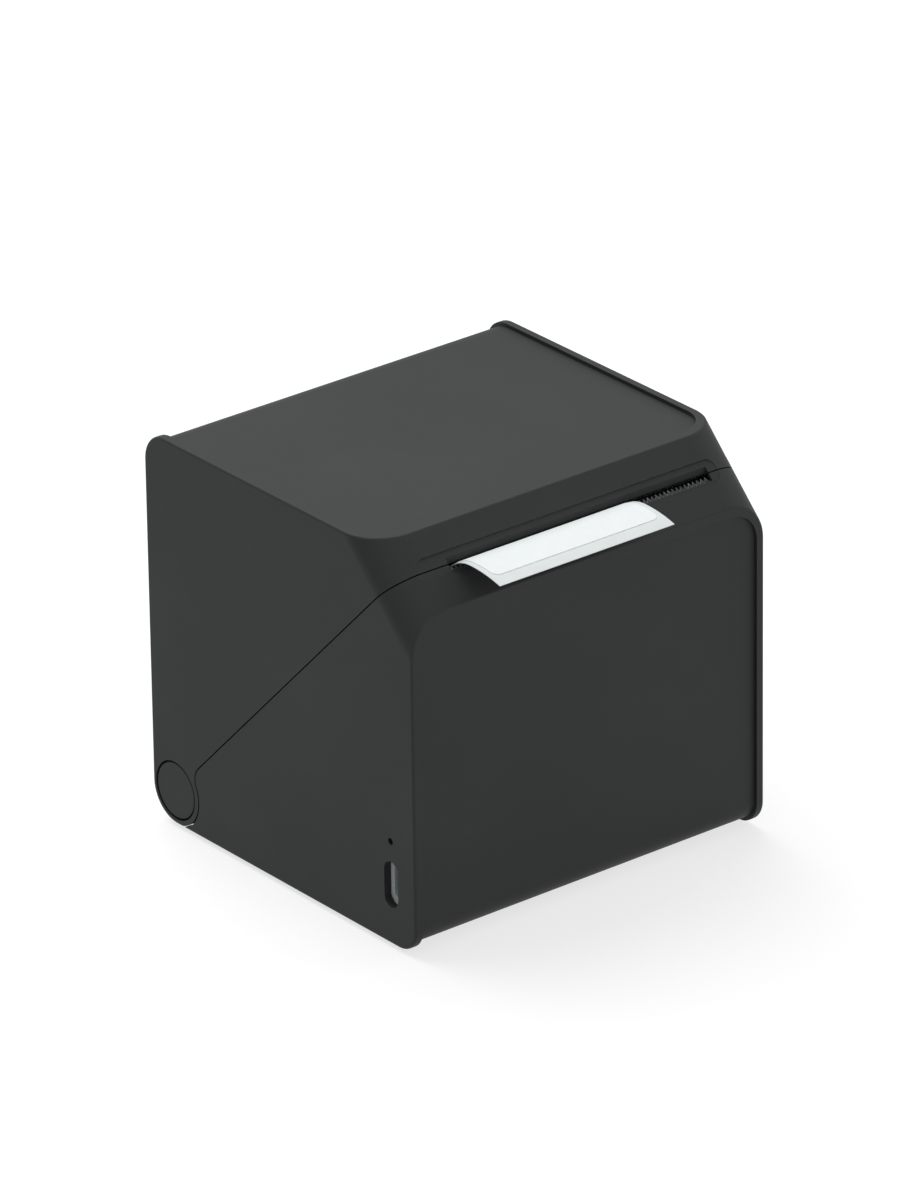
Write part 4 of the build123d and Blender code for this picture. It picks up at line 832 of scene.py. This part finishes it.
# FLOOR_REACH, the floor's half-width, is in metres. FLOOR_DROP is in millimetres, and keeps the
# floor clear of the foot's underside.
FLOOR_REACH, FLOOR_DROP = 4.0, 0.05
FLOOR_GLOW = 0.7
ROOM_COLOUR = (0.975, 1.0, 1.0)
ROOM_LIGHT, ROOM_MORE_IN_GLOSS = 0.34, 0.3

# Each lamp's place and width in metres, its power in watts, and its tint
LAMPS = {
    "overhead": ((0.0, 0.68, 1.42), 1.6, 20.0, (0.985, 1.0, 0.995)),
    "front": ((-0.1, -1.8, 0.45), 1.2, 8.5, (1.0, 0.95, 0.9)),
    "right": ((1.5, -0.6, 0.8), 1.0, 2.0, (1.0, 1.0, 1.0)),
}
LAMP_AIM = Vector((0, 0, 0.05))

# The camera's turn, dip and lean are in degrees, and its distance is in metres. Pixels are those of
# the photograph's frame, and the aim's two offsets are from the middle of it.
CAMERA_TURN, CAMERA_DIP, CAMERA_LEAN = 38.6, 25.34, -0.786
CAMERA_DISTANCE = 2.361
AIM_HEIGHT = 52.0
AIM_PIXELS_RIGHT, AIM_PIXELS_DOWN = 5.7, 28.5
FOCAL_PIXELS = 9813.9
FRAME_PIXELS_HIGH = 1200
SENSOR_LONG_SIDE = 36.0


def make_floor():
    """A pale floor that the camera and the gloss see as near white, and that keeps the shadow."""
    mesh = bmesh.new()
    bmesh.ops.create_grid(mesh, x_segments=1, y_segments=1, size=FLOOR_REACH)
    bmesh.ops.translate(mesh, vec=(0, 0, -FLOOR_DROP * MM), verts=mesh.verts)
    floor = put_in_scene(mesh, "floor")
    material, tree, shader, place = new_finish("Pale floor")
    tree.nodes.remove(shader)
    cloud = ramp(tree, noise(tree, place, 3.0, detail=3.0), 0.3, 0.7)
    diffuse = tree.nodes.new("ShaderNodeBsdfDiffuse")
    grey = mix_colour(tree, cloud, (0.42, 0.42, 0.42), (0.4, 0.4, 0.4))
    tree.links.new(grey, diffuse.inputs["Color"])
    glow = tree.nodes.new("ShaderNodeEmission")
    rays = tree.nodes.new("ShaderNodeLightPath")
    seen = math_node(tree, "ADD", rays.outputs["Is Camera Ray"], rays.outputs["Is Glossy Ray"])
    tree.links.new(math_node(tree, "MULTIPLY", seen, FLOOR_GLOW), glow.inputs["Strength"])
    both = tree.nodes.new("ShaderNodeAddShader")
    tree.links.new(diffuse.outputs[0], both.inputs[0])
    tree.links.new(glow.outputs[0], both.inputs[1])
    tree.links.new(both.outputs[0], tree.nodes["Material Output"].inputs["Surface"])
    floor.data.materials.append(material)


def make_room():
    """An even pale room, which the camera sees as near white."""
    world = bpy.data.worlds.new("Room")
    world.use_nodes = True
    bpy.context.scene.world = world
    tree = world.node_tree
    rays = tree.nodes.new("ShaderNodeLightPath")
    seen = math_node(tree, "ADD", rays.outputs["Is Camera Ray"], rays.outputs["Is Transmission Ray"])
    mirrored = math_node(
        tree, "MULTIPLY_ADD", rays.outputs["Is Glossy Ray"], ROOM_MORE_IN_GLOSS, ROOM_LIGHT
    )
    background = tree.nodes["Background"]
    background.inputs["Color"].default_value = (*ROOM_COLOUR, 1)
    tree.links.new(math_node(tree, "MAXIMUM", seen, mirrored), background.inputs["Strength"])


def make_lamps():
    """A wide soft lamp overhead, a weaker one in front and a small one on the right."""
    for name, (place, width, power, tint) in LAMPS.items():
        lamp = bpy.data.lights.new(name, "AREA")
        lamp.energy = power
        lamp.color = tint
        lamp.size = width
        lamp.shape = "DISK"
        light = bpy.data.objects.new(name, lamp)
        bpy.context.scene.collection.objects.link(light)
        turn = (LAMP_AIM - Vector(place)).to_track_quat("-Z", "Y").to_matrix().to_4x4()
        light.matrix_world = Matrix.Translation(place) @ turn


def make_camera():
    """The photograph's view: from the front left, a little above, through a long lens."""
    turn = math.radians(CAMERA_TURN)
    dip = math.radians(CAMERA_DIP)
    lean = math.radians(CAMERA_LEAN)
    view = Vector((math.sin(turn) * math.cos(dip), math.cos(turn) * math.cos(dip), -math.sin(dip)))
    level = Vector((math.cos(turn), -math.sin(turn), 0))
    upright = level.cross(view)
    side = level * math.cos(lean) + upright * math.sin(lean)
    top = -level * math.sin(lean) + upright * math.cos(lean)
    place = Vector((0, 0, AIM_HEIGHT * MM)) - view * CAMERA_DISTANCE
    right, down = AIM_PIXELS_RIGHT / FOCAL_PIXELS, AIM_PIXELS_DOWN / FOCAL_PIXELS
    view = (view - side * right + top * down).normalized()
    side = (side - view * side.dot(view)).normalized()
    top = side.cross(view)
    lens = bpy.data.cameras.new("camera")
    lens.sensor_width = SENSOR_LONG_SIDE
    lens.lens = FOCAL_PIXELS * SENSOR_LONG_SIDE / FRAME_PIXELS_HIGH
    camera = bpy.data.objects.new("camera", lens)
    bpy.context.scene.collection.objects.link(camera)
    turned = Matrix((side, top, -view)).transposed().to_4x4()
    camera.matrix_world = Matrix.Translation(place) @ turned
    bpy.context.scene.camera = camera


make_floor()
make_room()
make_lamps()
make_camera()
bpy.context.scene.view_settings.view_transform = "Standard"
